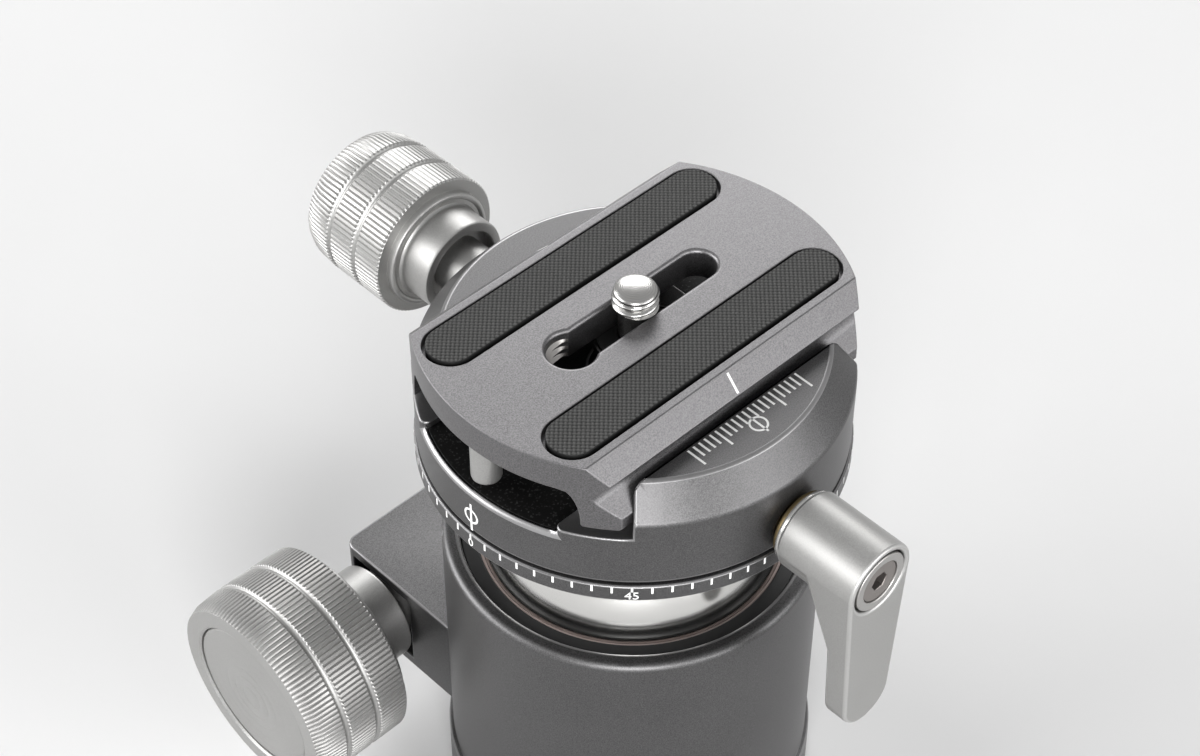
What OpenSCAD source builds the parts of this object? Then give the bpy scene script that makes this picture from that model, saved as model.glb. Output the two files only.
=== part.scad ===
// Ball head with a panning quick-release clamp and a sliding dovetail plate.
// Frame: millimetres, +Z up, origin on the base's underside at the tripod thread.
// X runs along the plate, the clamp knob is on +Y and the pan lever on -Y.

/* [Base] */
// How far the base plate stands out beyond the housing
base_step = 0.6; // [0.4:0.1:4]
// Thickness of the base plate
base_h = 10.5; // [10:0.5:12]
// Wall diameter of the tripod thread, 3/8-16
tripod_d = 8; // [7.5:0.1:9]
// Depth of the tripod thread
tripod_depth = 10; // [8:0.5:12]
// Thread diameter of the base screws
base_screw_d = 4; // [3:0.5:5]
// Length of the base screws
base_screw_len = 17.5; // [16:0.5:20]

/* [Housing] */
// Height of the rim above the underside
rim_z = 54; // [52:0.5:60]
// Width of the black retaining ring inside the rim
retainer_w = 1.9; // [1.6:0.1:2.4]
// Wall of the rim round that ring
rim_wall = 2.6; // [2.2:0.1:3.2]
// Depth of the ring seat below the rim
seat_depth = 6.5; // [6:0.1:8]
// Rounding of the rim's outer edge
rim_round = 1.2; // [0.5:0.1:2]
// How much the cup's cone narrows on each side
cone_step = 2.9; // [2.4:0.1:3.6]
// Width of the slit that lets the collar close
slit_w = 1.6; // [1:0.1:3]

/* [Pinch block] */
// Half length of the block along X
block_x = 20.5; // [18:0.5:22]
// Outer face of the block, from the housing's wall
block_out = 15; // [14.4:0.2:18]
// Top of the block
block_top = 30; // [29:0.5:33]
// Underside of the block
block_bottom = 13; // [10:0.5:14]
// Rounding of the block's outer corners
block_round = 2; // [1:0.2:3]
// Wall left round the recess in the block's end
block_wall = 2; // [1.5:0.1:2.4]
// Depth of that recess
block_recess = 9.4; // [7:0.2:11]
// Pinch bolt's distance from the housing's wall
pinch_out = 6.6; // [6.2:0.1:7]
// Pinch bolt's height above the block's middle
pinch_lift = 0.3; // [0:0.1:0.6]
// Diameter of the pinch bolt
pinch_d = 6; // [5:0.5:6]

/* [Main knob] */
// Diameter over the knurled bands
main_knob_d = 32.6; // [28:0.2:34]
// Length of the knurled part
main_knob_len = 17; // [14:0.5:20]
// Inner face of the knurled part, from the block's end
main_standoff = 9; // [8:0.5:13]
// Diameter of the boss that enters the block
main_boss_d = 11; // [9.6:0.2:12]

/* [Ball] */
// Diameter of the ball
ball_d = 44; // [43:0.1:44.2]
// Ball centre below the rim
ball_drop = 4; // [3.5:0.1:5]
// Diameter of the neck
neck_d = 26; // [24:0.5:26]
// Underside of the degree ring above the ball centre
neck_rise = 21.4; // [21:0.1:24]
// Clearance of the ball in its seats
ball_fit = 0.08; // [0.05:0.01:0.1]

/* [Pan joint] */
// How far the degree ring stands out beyond the clamp
ring_lip = 0.3; // [0.1:0.1:1]
// Height of the degree ring
ring_h = 3.1; // [2.6:0.1:5]
// Gap between ring and clamp
pan_gap = 0.2; // [0.1:0.05:0.5]
// Diameter of the pan spindle
spindle_d = 20; // [18:0.5:21]
// Running clearance of the spindle
spindle_fit = 0.05; // [0.02:0.01:0.1]
// Thickness of the pan bearing washer
bearing_h = 0.8; // [0.5:0.05:0.9]
// Diameter of the centre bolt
centre_bolt_d = 8; // [6:0.5:8]

/* [Clamp] */
// Diameter of the clamp
clamp_d = 60; // [59:0.2:62]
// Height of the wing floors above the clamp's underside
wing_h = 8.7; // [8.5:0.1:10]
// Height of the pad that carries the plate, above the wing floors
pad_h = 1.6; // [1.4:0.1:2.2]
// Half length of the pad, where the stop pins arrive
pad_x = 15; // [14:0.5:16]
// Width of the jaws' sloping edge
jaw_slope_w = 3.7; // [3:0.1:5]
// Drop of the jaws' sloping edge
jaw_slope_h = 4.6; // [3.5:0.1:5]
// Width of the inlay recess
inlay_w = 24.8; // [20:0.2:28]
// Depth of the inlay recess below the wing floors
inlay_drop = 1; // [0.6:0.1:1.2]
// Rounding of the wings' corners beside the inlay
wing_round = 1; // [0.6:0.1:1.4]
// Thickness of the inlay plates
inlay_h = 0.8; // [0.5:0.1:1]
// Clearance between the plate and the jaws
slide_fit = 0.08; // [0.05:0.01:0.15]

/* [Clamp knob] */
// Height of the knob's axis above the clamp's underside
knob_rise = 5.1; // [5:0.1:5.3]
// Diameter over the knurled bands
knob_d = 22; // [18:0.2:24]
// Length of the knurled part
knob_len = 16.3; // [12:0.1:20]
// Inner face of the knurled part, from the clamp's wall
knob_standoff = 11; // [10:0.5:14]
// Diameter of the boss behind the knurled part
knob_boss_d = 14.6; // [13:0.2:16]
// Length of that boss
knob_boss_len = 6.4; // [4:0.2:7]
// Diameter of the shoulder that presses on the jaw
shoulder_d = 8.6; // [8:0.1:9.4]
// Thread diameter of the clamp screw
clamp_screw_d = 6; // [5:0.5:6]
// Depth of the spot face in the jaw
spot_depth = 2; // [1.5:0.1:2.5]
// Diameter of the jaw's guide pins
guide_d = 3; // [2.5:0.1:3]
// Guide pins' distance from the middle
guide_x = 11; // [10.5:0.5:12]

/* [Pan lever] */
// Height of the lever's axis above the clamp's underside
lever_rise = 3.3; // [3.2:0.05:3.6]
// Diameter of the lever's barrel
lever_d = 11.5; // [11:0.1:13]
// Length of the barrel
lever_barrel = 13; // [12:0.5:16]
// Barrel's inner end, from the clamp's wall
lever_standoff = 2; // [1.8:0.1:3]
// Distance from the axis to the middle of the lever's tip
lever_len = 24; // [18:0.5:26]
// Diameter of the lever's tip
lever_tip_d = 8.8; // [7:0.2:10]
// Thickness of the arm
arm_t = 3.8; // [3:0.1:5]
// Thread diameter of the brake screw
brake_d = 4; // [3:0.5:4]

/* [Plate] */
// Width in the dovetail groove
groove_w = 34; // [33:0.2:34.4]
// How far the top face stays inside the groove on each side
top_in = 0.5; // [0:0.1:1]
// How far the flare stands out beyond the groove on each side
flare_out = 2.1; // [1.6:0.1:2.4]
// Depth of the dovetail on each side
dovetail = 3.2; // [2.8:0.1:3.3]
// Width of a foot
foot_t = 4.3; // [4:0.1:4.8]
// Overall height of the plate
plate_h = 10.9; // [10:0.1:12]
// Drop of the flare below the top
flare_drop = 2.85; // [2.5:0.05:3.2]
// Drop of the groove below the top
groove_drop = 5.5; // [5.2:0.1:6]
// Thickness of the slab
slab_h = 4.8; // [4.2:0.1:5]
// Play of the camera screw's waist in its slot
slot_play = 0.8; // [0.5:0.1:1.4]
// Distance between the slot's end centres
slot_len = 23.3; // [20:0.1:25]
// Play of the thread in the entry hole at the slot's end
entry_play = 0.45; // [0.3:0.05:1]
// Width of a grip strip
strip_w = 7.3; // [6:0.1:7.6]
// Distance of a strip's end from the plate's round end
strip_end = 4; // [4:0.5:10]
// Distance of a strip's side from the top face's edge
strip_side = 1.45; // [1.05:0.05:1.85]
// Height of the strips above the plate
strip_proud = 0.4; // [0:0.1:0.8]
// Depth of the strips' pockets
strip_pocket = 1.2; // [0.8:0.1:1.6]
// Diameter of the stop pins
pin_d = 4.2; // [3:0.1:5]
// Stop pins' distance from the plate's round end
pin_in = 3; // [2.6:0.2:4]

/* [Camera screw] */
// Thread diameter, 1/4-20
screw_d = 6.35; // [6:0.05:6.5]
// Height of the screw above the plate
screw_up = 3.75; // [3:0.05:6]
// Diameter of its waist
waist_d = 4.6; // [4:0.1:4.8]
// Diameter of its head
screw_head_d = 11.2; // [9:0.2:13]

/* [Hidden] */
$fn = 96;

// Small amounts used all over
eps = 0.01;
gap = 0.1;
loose = 0.3;
edge = 0.4;

// Block on the housing's side, seen along X
block_h = block_top - block_bottom;
pinch_z = block_bottom + block_h / 2 + pinch_lift;

// Heights, from the base up
ball_z = rim_z - ball_drop;
ledge_z = rim_z - seat_depth;
ring_z0 = ball_z + neck_rise;
ring_z1 = ring_z0 + ring_h;
clamp_z0 = ring_z1 + pan_gap;
wing_z = clamp_z0 + wing_h;
pad_z = wing_z + pad_h;
plate_z0 = pad_z + gap;
plate_z1 = plate_z0 + plate_h;
groove_z = plate_z1 - groove_drop;
jaw_z1 = groove_z + gap;
slab_z0 = plate_z1 - slab_h;
inlay_z = wing_z - inlay_drop;
knob_z = clamp_z0 + knob_rise;
lever_z = clamp_z0 + lever_rise;

// Radii and half widths
bowl_gap = 0.4;
seat_w = 0.5;
inlay_lip = 0.8;
ball_r = ball_d / 2;
bowl_r = ball_r + bowl_gap;
cone_r = bowl_r - cone_step;
seat_ring_r = bowl_r + seat_w;
rim_in_d = 2 * (seat_ring_r + retainer_w);
housing_r = rim_in_d / 2 + rim_wall;
base_r = housing_r + base_step;
clamp_r = clamp_d / 2;
ring_r = clamp_r + ring_lip;
spindle_r = spindle_d / 2;
inlay_r = clamp_r - inlay_lip;

// Cone of the collar and of the cup that it lifts
bowl_drop = 10;
cone_rise = 9;
cup_rise = 6;
cup_under = 2;
cup_hole_r = 8;
bowl_z = ball_z - bowl_drop;
cone_z = base_h + cone_rise;
cup_z0 = cone_z + cup_rise;
cup_z1 = bowl_z - cup_under;
function cone_at(z) = cone_r + (bowl_r - cone_r) * (z - cone_z) / (bowl_z - cone_z);

// Base plate's spigot in the collar and the post under the disc springs
spigot_h = 3;
post_r = 13;
disc_in_r = 6.5;
disc_out_r = 12.5;
disc_t = 1.4;
disc_rise = 1.5;

// Base screws stand in the middle of the collar's wall
base_screw_ring = (cone_r + housing_r) / 2;
base_screw_count = 4;
base_head_d = 1.85 * base_screw_d;
base_head_h = (base_head_d - base_screw_d) / 2;

// Pinch bolt's seats in the block
block_y = housing_r + block_out;
pinch_y = housing_r + pinch_out;
main_knob_x = block_x + main_standoff;
recess_x = block_x - block_recess;
thrust_h = 1;
nut_h = 5;
nut_d = pinch_d + 5;
main_tip_x = recess_x + thrust_h + gap;

// Pan spindle and its cap
cap_h = 2.4;
cap_d = spindle_d + 4;
spindle_z1 = pad_z - cap_h - 0.2;
bearing_in_d = spindle_d + 4;

// Moving jaw
foot_w = groove_w + 2 * dovetail;
jaw_split = clamp_r * sin(45);
jaw_top_r = clamp_r - jaw_slope_w;
bearing_out_d = 2 * jaw_split - 3;
jaw_nose = groove_w / 2 + 0.2;
jaw_side = foot_w / 2 + slide_fit + 0.02;
pad_edge = min(jaw_side, jaw_split) - gap;
slope_sum = groove_w / 2 + groove_z + slide_fit * sqrt(2);
spot_y = clamp_r - spot_depth;
knob_y = clamp_r + knob_standoff;
knob_boss_y = knob_y - knob_boss_len;
boss_recess = knob_boss_len / 4;
knob_washer_h = 0.8;
knob_washer_d = 2 * (knob_rise + pan_gap - loose);
shoulder_y = spot_y + gap + knob_washer_h;
clamp_screw_y = spindle_r + 2.5;
guide_seat = 8.9;
guide_wall = 1.2;
guide_end = sqrt(pow(clamp_r, 2) - pow(guide_x + guide_d / 2, 2)) - guide_wall;
spring_wire = 0.6;
spring_r = guide_d / 2 + 0.4 + spring_wire / 2;
spring_turns = 4;
spring_len = 5.2;
spring_pocket_d = 2 * spring_r + spring_wire + 0.8;

// Pan lever
lever_y = clamp_r + lever_standoff;
lever_end = lever_y + lever_barrel;
lever_flat = clamp_r - 0.6;
shim_h = 0.6;
lever_boss_d = 2 * (lever_rise + pan_gap - loose);
lever_flange_y = ring_r + loose;
lever_flange_h = lever_y - lever_flange_y - shim_h - 1.5 * gap;
shoe_y = spindle_r + loose;
brake_tip = shoe_y + 4;
sleeve_d = lever_d - 2.5;
sleeve_len = 6.8;
brake_head_d = 6.4;
brake_head_len = 4.5;

// Plate
plate_r = clamp_r;
plate_top_w = groove_w - 2 * top_in;
flare_w = groove_w + 2 * flare_out;
channel_w = foot_w - 2 * foot_t;
channel_in = 2.2;
channel_step = 0.6;
foot_edge = 0.3;
slot_w = waist_d + slot_play;
entry_d = screw_d + entry_play;
strip_len = 2 * (plate_r - strip_end);
strip_y = plate_top_w / 2 - strip_side - strip_w / 2;
pin_x = plate_r - pin_in;
pin_seat = 1.9;
pin_z0 = wing_z + gap;
washer_t = 0.6;
screw_head_h = 2.3;
screw_head_z = slab_z0 - 2 * gap - washer_t - screw_head_h;
screw_z1 = plate_z1 + screw_up;
dome_h = 0.7;

module along_x() { rotate([0, 90, 0]) children(); }
module along_y() { rotate([-90, 0, 0]) children(); }

// Ring with a square section, standing on z = 0
module ring(d_out, d_in, h) {
    difference() {
        cylinder(d = d_out, h = h);
        translate([0, 0, -1]) cylinder(d = d_in, h = h + 2);
    }
}

// Round-ended bar lying along X, standing on z = 0
module stadium(length, width, h) {
    reach = (length - width) / 2;
    for (side = [-1, 1]) translate([side * reach, 0, 0]) cylinder(d = width, h = h);
    translate([-reach, -width / 2, 0]) cube([2 * reach, width, h]);
}

// Places its children at the four base screws, clear of the slit
module at_base_screws() {
    for (i = [0 : base_screw_count - 1])
        rotate([0, 0, 45 + i * 360 / base_screw_count]) translate([base_screw_ring, 0, 0]) children();
}

// Turned knob of three bands: the knurled part starts at z = 0 and ends at z = len.
// The boss's end may have a round recess of the given depth about the nose
module banded_knob(d, len, boss_d, boss_len, nose_d, nose_len, bore_d, cap_d, recess) {
    r = d / 2;
    recess_r = (nose_d + boss_d) / 4;
    groove = 0.8;
    deep = 0.5;
    taper = 0.9;
    lip_r = r - 1.9;
    lip_h = 1.2;
    band = len / 3;
    cap_in = 1.2;
    difference() {
        rotate_extrude() polygon([
            [0, -boss_len - nose_len],
            [nose_d / 2, -boss_len - nose_len],
            [nose_d / 2, -boss_len + recess],
            if (recess > 0) each [[recess_r, -boss_len + recess], [recess_r, -boss_len]],
            [boss_d / 2 - edge, -boss_len],
            [boss_d / 2, -boss_len + edge],
            [boss_d / 2, -0.4],
            [lip_r - 1, -0.4],
            [lip_r - 1, -lip_h],
            [lip_r, -lip_h],
            [lip_r, 0],
            [r - edge, 0],
            [r, edge],
            [r, band - groove / 2],
            [r - deep, band - groove / 5],
            [r - deep, band + groove / 5],
            [r, band + groove / 2],
            [r, 2 * band - groove / 2],
            [r - deep, 2 * band - groove / 5],
            [r - deep, 2 * band + groove / 5],
            [r, 2 * band + groove / 2],
            [r - taper / 3, len - 1.5],
            [r - taper, len],
            [0, len]
        ]);
        translate([0, 0, -boss_len - nose_len - 1]) cylinder(d = bore_d, h = boss_len + nose_len + len - 2);
        translate([0, 0, len - cap_in]) cylinder(d = cap_d, h = cap_in + 1);
    }
}

// Domed disc that closes a knob's outer end
module knob_cap(d) {
    rotate_extrude() polygon([[0, 0], [d / 2, 0], [d / 2, 0.5], [d / 2 - 0.5, 0.9], [0, 1.1]]);
}

module base_plate() {
    color("dimgray") difference() {
        rotate_extrude() polygon([
            [0, 0],
            [base_r - 2 * edge, 0],
            [base_r, 2 * edge],
            [base_r, base_h - 2 * edge],
            [base_r - 2 * edge, base_h],
            [cone_r - gap, base_h],
            [cone_r - gap, base_h + spigot_h],
            [post_r, base_h + spigot_h],
            [post_r, cone_z],
            [0, cone_z]
        ]);
        translate([0, 0, -1]) cylinder(d = tripod_d, h = tripod_depth + 1);
        at_base_screws() {
            translate([0, 0, -1]) cylinder(d = base_screw_d + 0.3, h = base_h + 2);
            translate([0, 0, -eps])
                cylinder(d1 = base_head_d + 0.4, d2 = base_screw_d + 0.3, h = base_head_h + 0.1);
        }
    }
}

// Countersunk screws with a hexagon socket, flush with the underside
module base_screws() {
    color("gray") at_base_screws() difference() {
        union() {
            translate([0, 0, 0.1]) cylinder(d1 = base_head_d, d2 = base_screw_d, h = base_head_h);
            translate([0, 0, 0.1]) cylinder(d = base_screw_d, h = base_screw_len);
        }
        translate([0, 0, -1]) cylinder(d = 0.6 * base_screw_d, h = 2.2, $fn = 6);
    }
}

// Block on the side of the collar, with rounded outer corners
module pinch_block() {
    translate([-block_x, 0, block_bottom]) cube([2 * block_x, block_y - block_round, block_h]);
    translate([-block_x + block_round, 0, block_bottom])
        cube([2 * (block_x - block_round), block_y, block_h]);
    for (side = [-1, 1])
        translate([side * (block_x - block_round), block_y - block_round, block_bottom])
            cylinder(r = block_round, h = block_h);
}

// Socket for the ball, with a split collar below that the pinch bolt closes
module housing() {
    color("gray") difference() {
        union() {
            rotate_extrude() {
                polygon([
                    [0, base_h],
                    [housing_r, base_h],
                    [housing_r, rim_z - rim_round],
                    [housing_r - rim_round, rim_z - rim_round],
                    [housing_r - rim_round, rim_z],
                    [0, rim_z]
                ]);
                translate([housing_r - rim_round, rim_z - rim_round]) circle(r = rim_round);
            }
            pinch_block();
        }
        rotate_extrude() polygon([
            [0, base_h - 1],
            [cone_r, base_h - 1],
            [cone_r, cone_z],
            [bowl_r, bowl_z],
            [bowl_r, ledge_z],
            [rim_in_d / 2, ledge_z],
            [rim_in_d / 2, rim_z - edge],
            [rim_in_d / 2 + edge, rim_z + eps],
            [0, rim_z + eps]
        ]);
        translate([-slit_w / 2, cone_r - 4, base_h - 1])
            cube([slit_w, block_y, bowl_z - base_h + 1]);
        translate([-block_x - 1, housing_r, block_bottom + block_wall])
            cube([block_recess + 1, block_y - housing_r - block_wall, block_h - 2 * block_wall]);
        translate([-block_x - 1, pinch_y, pinch_z]) along_x() {
            cylinder(d = pinch_d + 2 * loose, h = 2 * block_x + 2);
            cylinder(d = main_boss_d + 2 * loose, h = block_recess + 1);
        }
        translate([block_x - nut_h - 1, pinch_y, pinch_z]) along_x()
            cylinder(d = nut_d + 2 * gap, h = nut_h + 2);
        at_base_screws() cylinder(d = base_screw_d + 2 * gap, h = base_screw_len + 1.5);
    }
}

// Polymer ring that the ball runs against from below
module seat_ring() {
    color("rosybrown") difference() {
        translate([0, 0, ledge_z + eps]) cylinder(r = seat_ring_r - 0.05, h = seat_depth + 0.1);
        translate([0, 0, ledge_z - 1]) cylinder(r = bowl_r + 0.05, h = ball_z - ledge_z + 1);
        translate([0, 0, ball_z]) sphere(r = ball_r + ball_fit);
    }
}

// Black threaded ring that keeps the seat ring in the rim
module retaining_ring() {
    color("black") difference() {
        translate([0, 0, ledge_z + eps]) ring(rim_in_d - gap, 2 * seat_ring_r, seat_depth - 1.2);
        for (side = [-1, 1])
            translate([side * (rim_in_d / 2 - 1), 0, rim_z - 3]) cylinder(d = 1.2, h = 4);
    }
}

// Pair of disc springs that lifts the cup
module cup_springs() {
    top = disc_rise + disc_t;
    color("silver") translate([0, 0, cone_z + 0.05]) {
        rotate_extrude() polygon([
            [disc_in_r, disc_rise],
            [disc_out_r, 0],
            [disc_out_r, disc_t],
            [disc_in_r, top]
        ]);
        translate([0, 0, top]) rotate_extrude() polygon([
            [disc_in_r, 0],
            [disc_out_r, disc_rise],
            [disc_out_r, top],
            [disc_in_r, disc_t]
        ]);
    }
}

// Slotted round nut in the far lug
module pinch_nut() {
    color("silver") translate([block_x - nut_h, pinch_y, pinch_z]) along_x() difference() {
        ring(nut_d, pinch_d + gap, nut_h - 0.5);
        translate([-0.7, -nut_d, nut_h - 1.7]) cube([1.4, 2 * nut_d, 3]);
    }
}

// Brass thrust washer at the bottom of the block's recess
module main_washer() {
    color("goldenrod") translate([-recess_x - thrust_h - gap / 2, pinch_y, pinch_z]) along_x()
        ring(main_boss_d - 0.2, pinch_d + 2 * gap, thrust_h);
}

module main_knob() {
    color("silver") translate([-main_knob_x, pinch_y, pinch_z]) rotate([0, -90, 0])
        banded_knob(main_knob_d, main_knob_len, main_boss_d + 5, main_knob_x - block_x - 0.8,
                    main_boss_d, block_x + 0.8 - main_tip_x, pinch_d + 0.04, main_knob_d - 8, 0);
}

// Steel bolt fixed in the knob, threaded into the nut
module pinch_bolt() {
    start = main_knob_x + main_knob_len - 3.2;
    color("silver") translate([-start, pinch_y, pinch_z]) along_x()
        cylinder(d = pinch_d, h = start + block_x - 1.5);
}

module main_knob_cap() {
    color("silver") translate([-main_knob_x - main_knob_len + 1.2, pinch_y, pinch_z]) rotate([0, -90, 0])
        knob_cap(main_knob_d - 8 - gap);
}

// Tapered cup that the closing collar drives up against the ball
module ball_cup() {
    color("goldenrod") difference() {
        rotate_extrude() polygon([
            [cup_hole_r, cup_z0],
            [cone_at(cup_z0) - loose, cup_z0],
            [cone_at(cup_z1) - loose, cup_z1],
            [cup_hole_r, cup_z1]
        ]);
        translate([0, 0, ball_z]) sphere(r = ball_r + ball_fit);
    }
}

module ball() {
    color("white") difference() {
        union() {
            translate([0, 0, ball_z]) sphere(r = ball_r);
            translate([0, 0, ball_z]) cylinder(d = neck_d, h = neck_rise);
        }
        translate([0, 0, ball_z + 2]) cylinder(d = centre_bolt_d, h = neck_rise);
        translate([0, 0, ring_z0]) cylinder(r = ball_r, h = ball_r);
    }
}

// Degree ring with the spindle that the clamp turns on
module scale_ring() {
    bevel = 0.5;
    break_edge = 0.2;
    color("gray") difference() {
        rotate_extrude() polygon([
            [0, ring_z0],
            [ring_r - bevel, ring_z0],
            [ring_r, ring_z0 + bevel],
            [ring_r, ring_z1 - break_edge],
            [ring_r - break_edge, ring_z1],
            [spindle_r, ring_z1],
            [spindle_r, spindle_z1],
            [0, spindle_z1]
        ]);
        translate([0, 0, ring_z0 - 1]) cylinder(d = centre_bolt_d + gap, h = spindle_z1 - ring_z0 + 2);
    }
}

module pan_bearing() {
    color("white") translate([0, 0, ring_z1]) ring(bearing_out_d, bearing_in_d, bearing_h);
}

// Disc on the spindle's end that keeps the clamp down
module spindle_cap() {
    color("gray") translate([0, 0, spindle_z1]) difference() {
        cylinder(d = cap_d, h = cap_h);
        translate([0, 0, -eps])
            cylinder(d1 = centre_bolt_d + gap, d2 = centre_bolt_d + 2 * cap_h + gap, h = cap_h + 2 * eps);
    }
}

module centre_bolt() {
    color("dimgray") difference() {
        union() {
            translate([0, 0, ball_z + 4])
                cylinder(d = centre_bolt_d - 0.04, h = spindle_z1 - ball_z - 4 + 0.2);
            translate([0, 0, spindle_z1 + 0.05])
                cylinder(d1 = centre_bolt_d, d2 = centre_bolt_d + 2 * cap_h - 0.2, h = cap_h - 0.1);
        }
        translate([0, 0, spindle_z1 + 0.4]) cylinder(d = 0.7 * centre_bolt_d, h = cap_h, $fn = 6);
    }
}

// Outer form of the clamp: a drum whose jaws slope in at the top
module clamp_drum() {
    rotate_extrude() polygon([
        [0, clamp_z0],
        [clamp_r - edge, clamp_z0],
        [clamp_r, clamp_z0 + edge],
        [clamp_r, jaw_z1 - jaw_slope_h],
        [jaw_top_r, jaw_z1],
        [0, jaw_z1]
    ]);
}

// Quarter sector of the drum on the +Y side, between cuts at 45 degrees
module jaw_sector(low) {
    translate([0, 0, low]) linear_extrude(jaw_z1 - low + 1)
        polygon([[0, 0], [2 * clamp_r, 2 * clamp_r], [-2 * clamp_r, 2 * clamp_r]]);
}

// Jaw on the +Y side from z = low: a lip over the plate's foot and a wall beside it
module jaw(low) {
    intersection() {
        clamp_drum();
        jaw_sector(low);
        translate([-clamp_r, 0, 0]) rotate([90, 0, 90]) linear_extrude(2 * clamp_r) polygon([
            [jaw_side, low],
            [clamp_r + 1, low],
            [clamp_r + 1, jaw_z1],
            [jaw_nose, jaw_z1],
            [jaw_nose, slope_sum - jaw_nose],
            [jaw_side, slope_sum - jaw_side]
        ]);
    }
}

// Channel's end at the -X side from z = low up, with the wings' corners rounded at the drum's wall
module channel_mouth(low) {
    half = inlay_w / 2;
    turn_y = half + wing_round;
    turn_x = sqrt(pow(clamp_r - wing_round, 2) - pow(turn_y, 2));
    past = 1.1;
    translate([-clamp_r - 1, -half, low]) cube([clamp_r + 1 - pad_x, inlay_w, plate_h]);
    for (side = [-1, 1]) difference() {
        translate([0, 0, low]) linear_extrude(plate_h) polygon([
            [-turn_x, 0],
            [-clamp_r - 1, 0],
            [-clamp_r - 1, side * half],
            [-past * turn_x, side * past * turn_y],
            [-turn_x, side * turn_y]
        ]);
        translate([-turn_x, side * turn_y, low - 1]) cylinder(r = wing_round, h = plate_h + 2);
    }
}

// Recess for an inlay plate at the -X end, with a rounded front lip
module inlay_recess() {
    channel_mouth(inlay_z);
    intersection() {
        channel_mouth(inlay_z - 2 * inlay_lip);
        rotate_extrude() polygon([
            for (a = [0 : 15 : 90]) [inlay_r + inlay_lip * sin(a), inlay_z - inlay_lip * (1 - cos(a))],
            [clamp_r + 1, inlay_z - inlay_lip],
            [clamp_r + 1, inlay_z + eps],
            [inlay_r, inlay_z + eps]
        ]);
    }
    intersection() {
        translate([-clamp_r, -inlay_w / 2, inlay_z - inlay_h]) cube([clamp_r - pad_x, inlay_w, plate_h]);
        translate([0, 0, inlay_z - inlay_h]) cylinder(r = inlay_r, h = plate_h);
    }
}

module clamp_body() {
    color("gray") difference() {
        union() {
            intersection() {
                clamp_drum();
                translate([-clamp_r, -clamp_r, clamp_z0])
                    cube([2 * clamp_r, clamp_r + jaw_split - gap, wing_h]);
            }
            translate([-pad_x, -jaw_side - eps, wing_z - eps])
                cube([2 * pad_x, jaw_side + pad_edge, pad_h + eps]);
            mirror([0, 1, 0]) jaw(wing_z - eps);
        }
        translate([0, 0, clamp_z0 - 1]) cylinder(d = spindle_d + 2 * spindle_fit, h = wing_h + pad_h + 2);
        translate([0, 0, spindle_z1 - gap]) cylinder(d = cap_d + 4 * gap, h = cap_h + 2);
        translate([0, 0, clamp_z0 - 1])
            cylinder(d = bearing_out_d + 2 * loose, h = 1 + bearing_h - pan_gap + 0.05);
        inlay_recess();
        mirror([1, 0, 0]) inlay_recess();
        translate([0, clamp_screw_y - 1, knob_z]) along_y() cylinder(d = clamp_screw_d + gap, h = clamp_r);
        for (side = [-1, 1]) translate([side * guide_x, jaw_split - gap, knob_z]) rotate([90, 0, 0]) {
            translate([0, 0, -1]) cylinder(d = guide_d + 0.02, h = guide_seat + 1.1);
            translate([0, 0, -1]) cylinder(d = spring_pocket_d, h = 1 + spring_len);
        }
        translate([0, -spindle_r + 1, lever_z]) rotate([90, 0, 0]) {
            cylinder(d = brake_d + gap, h = clamp_r);
            translate([0, 0, lever_flat - spindle_r + 1]) cylinder(d = lever_boss_d + 1, h = 2);
        }
    }
}

// Thin black plates that fill the ends of the channel
module inlay_plates() {
    fit = 0.1;
    color("black") for (side = [-1, 1]) intersection() {
        translate([0, 0, inlay_z - inlay_h + eps]) cylinder(r = inlay_r - fit, h = inlay_h);
        translate([side > 0 ? pad_x + fit : -clamp_r - pad_x - fit, -inlay_w / 2 + fit, inlay_z - inlay_h])
            cube([clamp_r, inlay_w - 2 * fit, 2 * inlay_h]);
    }
}

module guide_pins() {
    color("silver") for (side = [-1, 1])
        translate([side * guide_x, jaw_split - gap - guide_seat, knob_z]) along_y()
            cylinder(d = guide_d, h = guide_end - jaw_split + gap + guide_seat);
}

// Coil springs on the guide pins that push the jaw open
module jaw_springs() {
    steps = 8 * spring_turns;
    sides = 6;
    wire = spring_wire / 2;
    rise = spring_len - 0.1 - spring_wire;
    centres = [for (i = [0 : steps]) let (a = 360 * i / 8)
        [spring_r * cos(a), spring_r * sin(a), rise * i / steps]];
    points = [for (i = [0 : steps]) for (k = [0 : sides - 1])
        let (a = 360 * i / 8, t = 360 * k / sides, out = spring_r + wire * cos(t))
        [out * cos(a), out * sin(a), centres[i][2] + wire * sin(t)]];
    walls = [for (i = [0 : steps - 1]) for (k = [0 : sides - 1])
        let (a = i * sides + k, b = i * sides + (k + 1) % sides)
        each [[a, b + sides, b], [a, a + sides, b + sides]]];
    tail = steps * sides;
    ends = [for (k = [1 : sides - 2]) each [[0, k, k + 1], [tail, tail + k + 1, tail + k]]];
    reach = [for (i = [0 : steps - 6]) for (j = [i + 6 : steps]) norm(centres[i] - centres[j])];
    echo(least_spring_gap = min(reach) - spring_wire);
    color("silver") for (side = [-1, 1])
        translate([side * guide_x, jaw_split - gap - spring_len + 0.05 + wire, knob_z]) along_y()
            polyhedron(points, concat(walls, ends));
}

module brake_shoe() {
    color("goldenrod") translate([0, -shoe_y, lever_z]) rotate([90, 0, 0])
        cylinder(d = brake_d - 0.1, h = 3.8);
}

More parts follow.
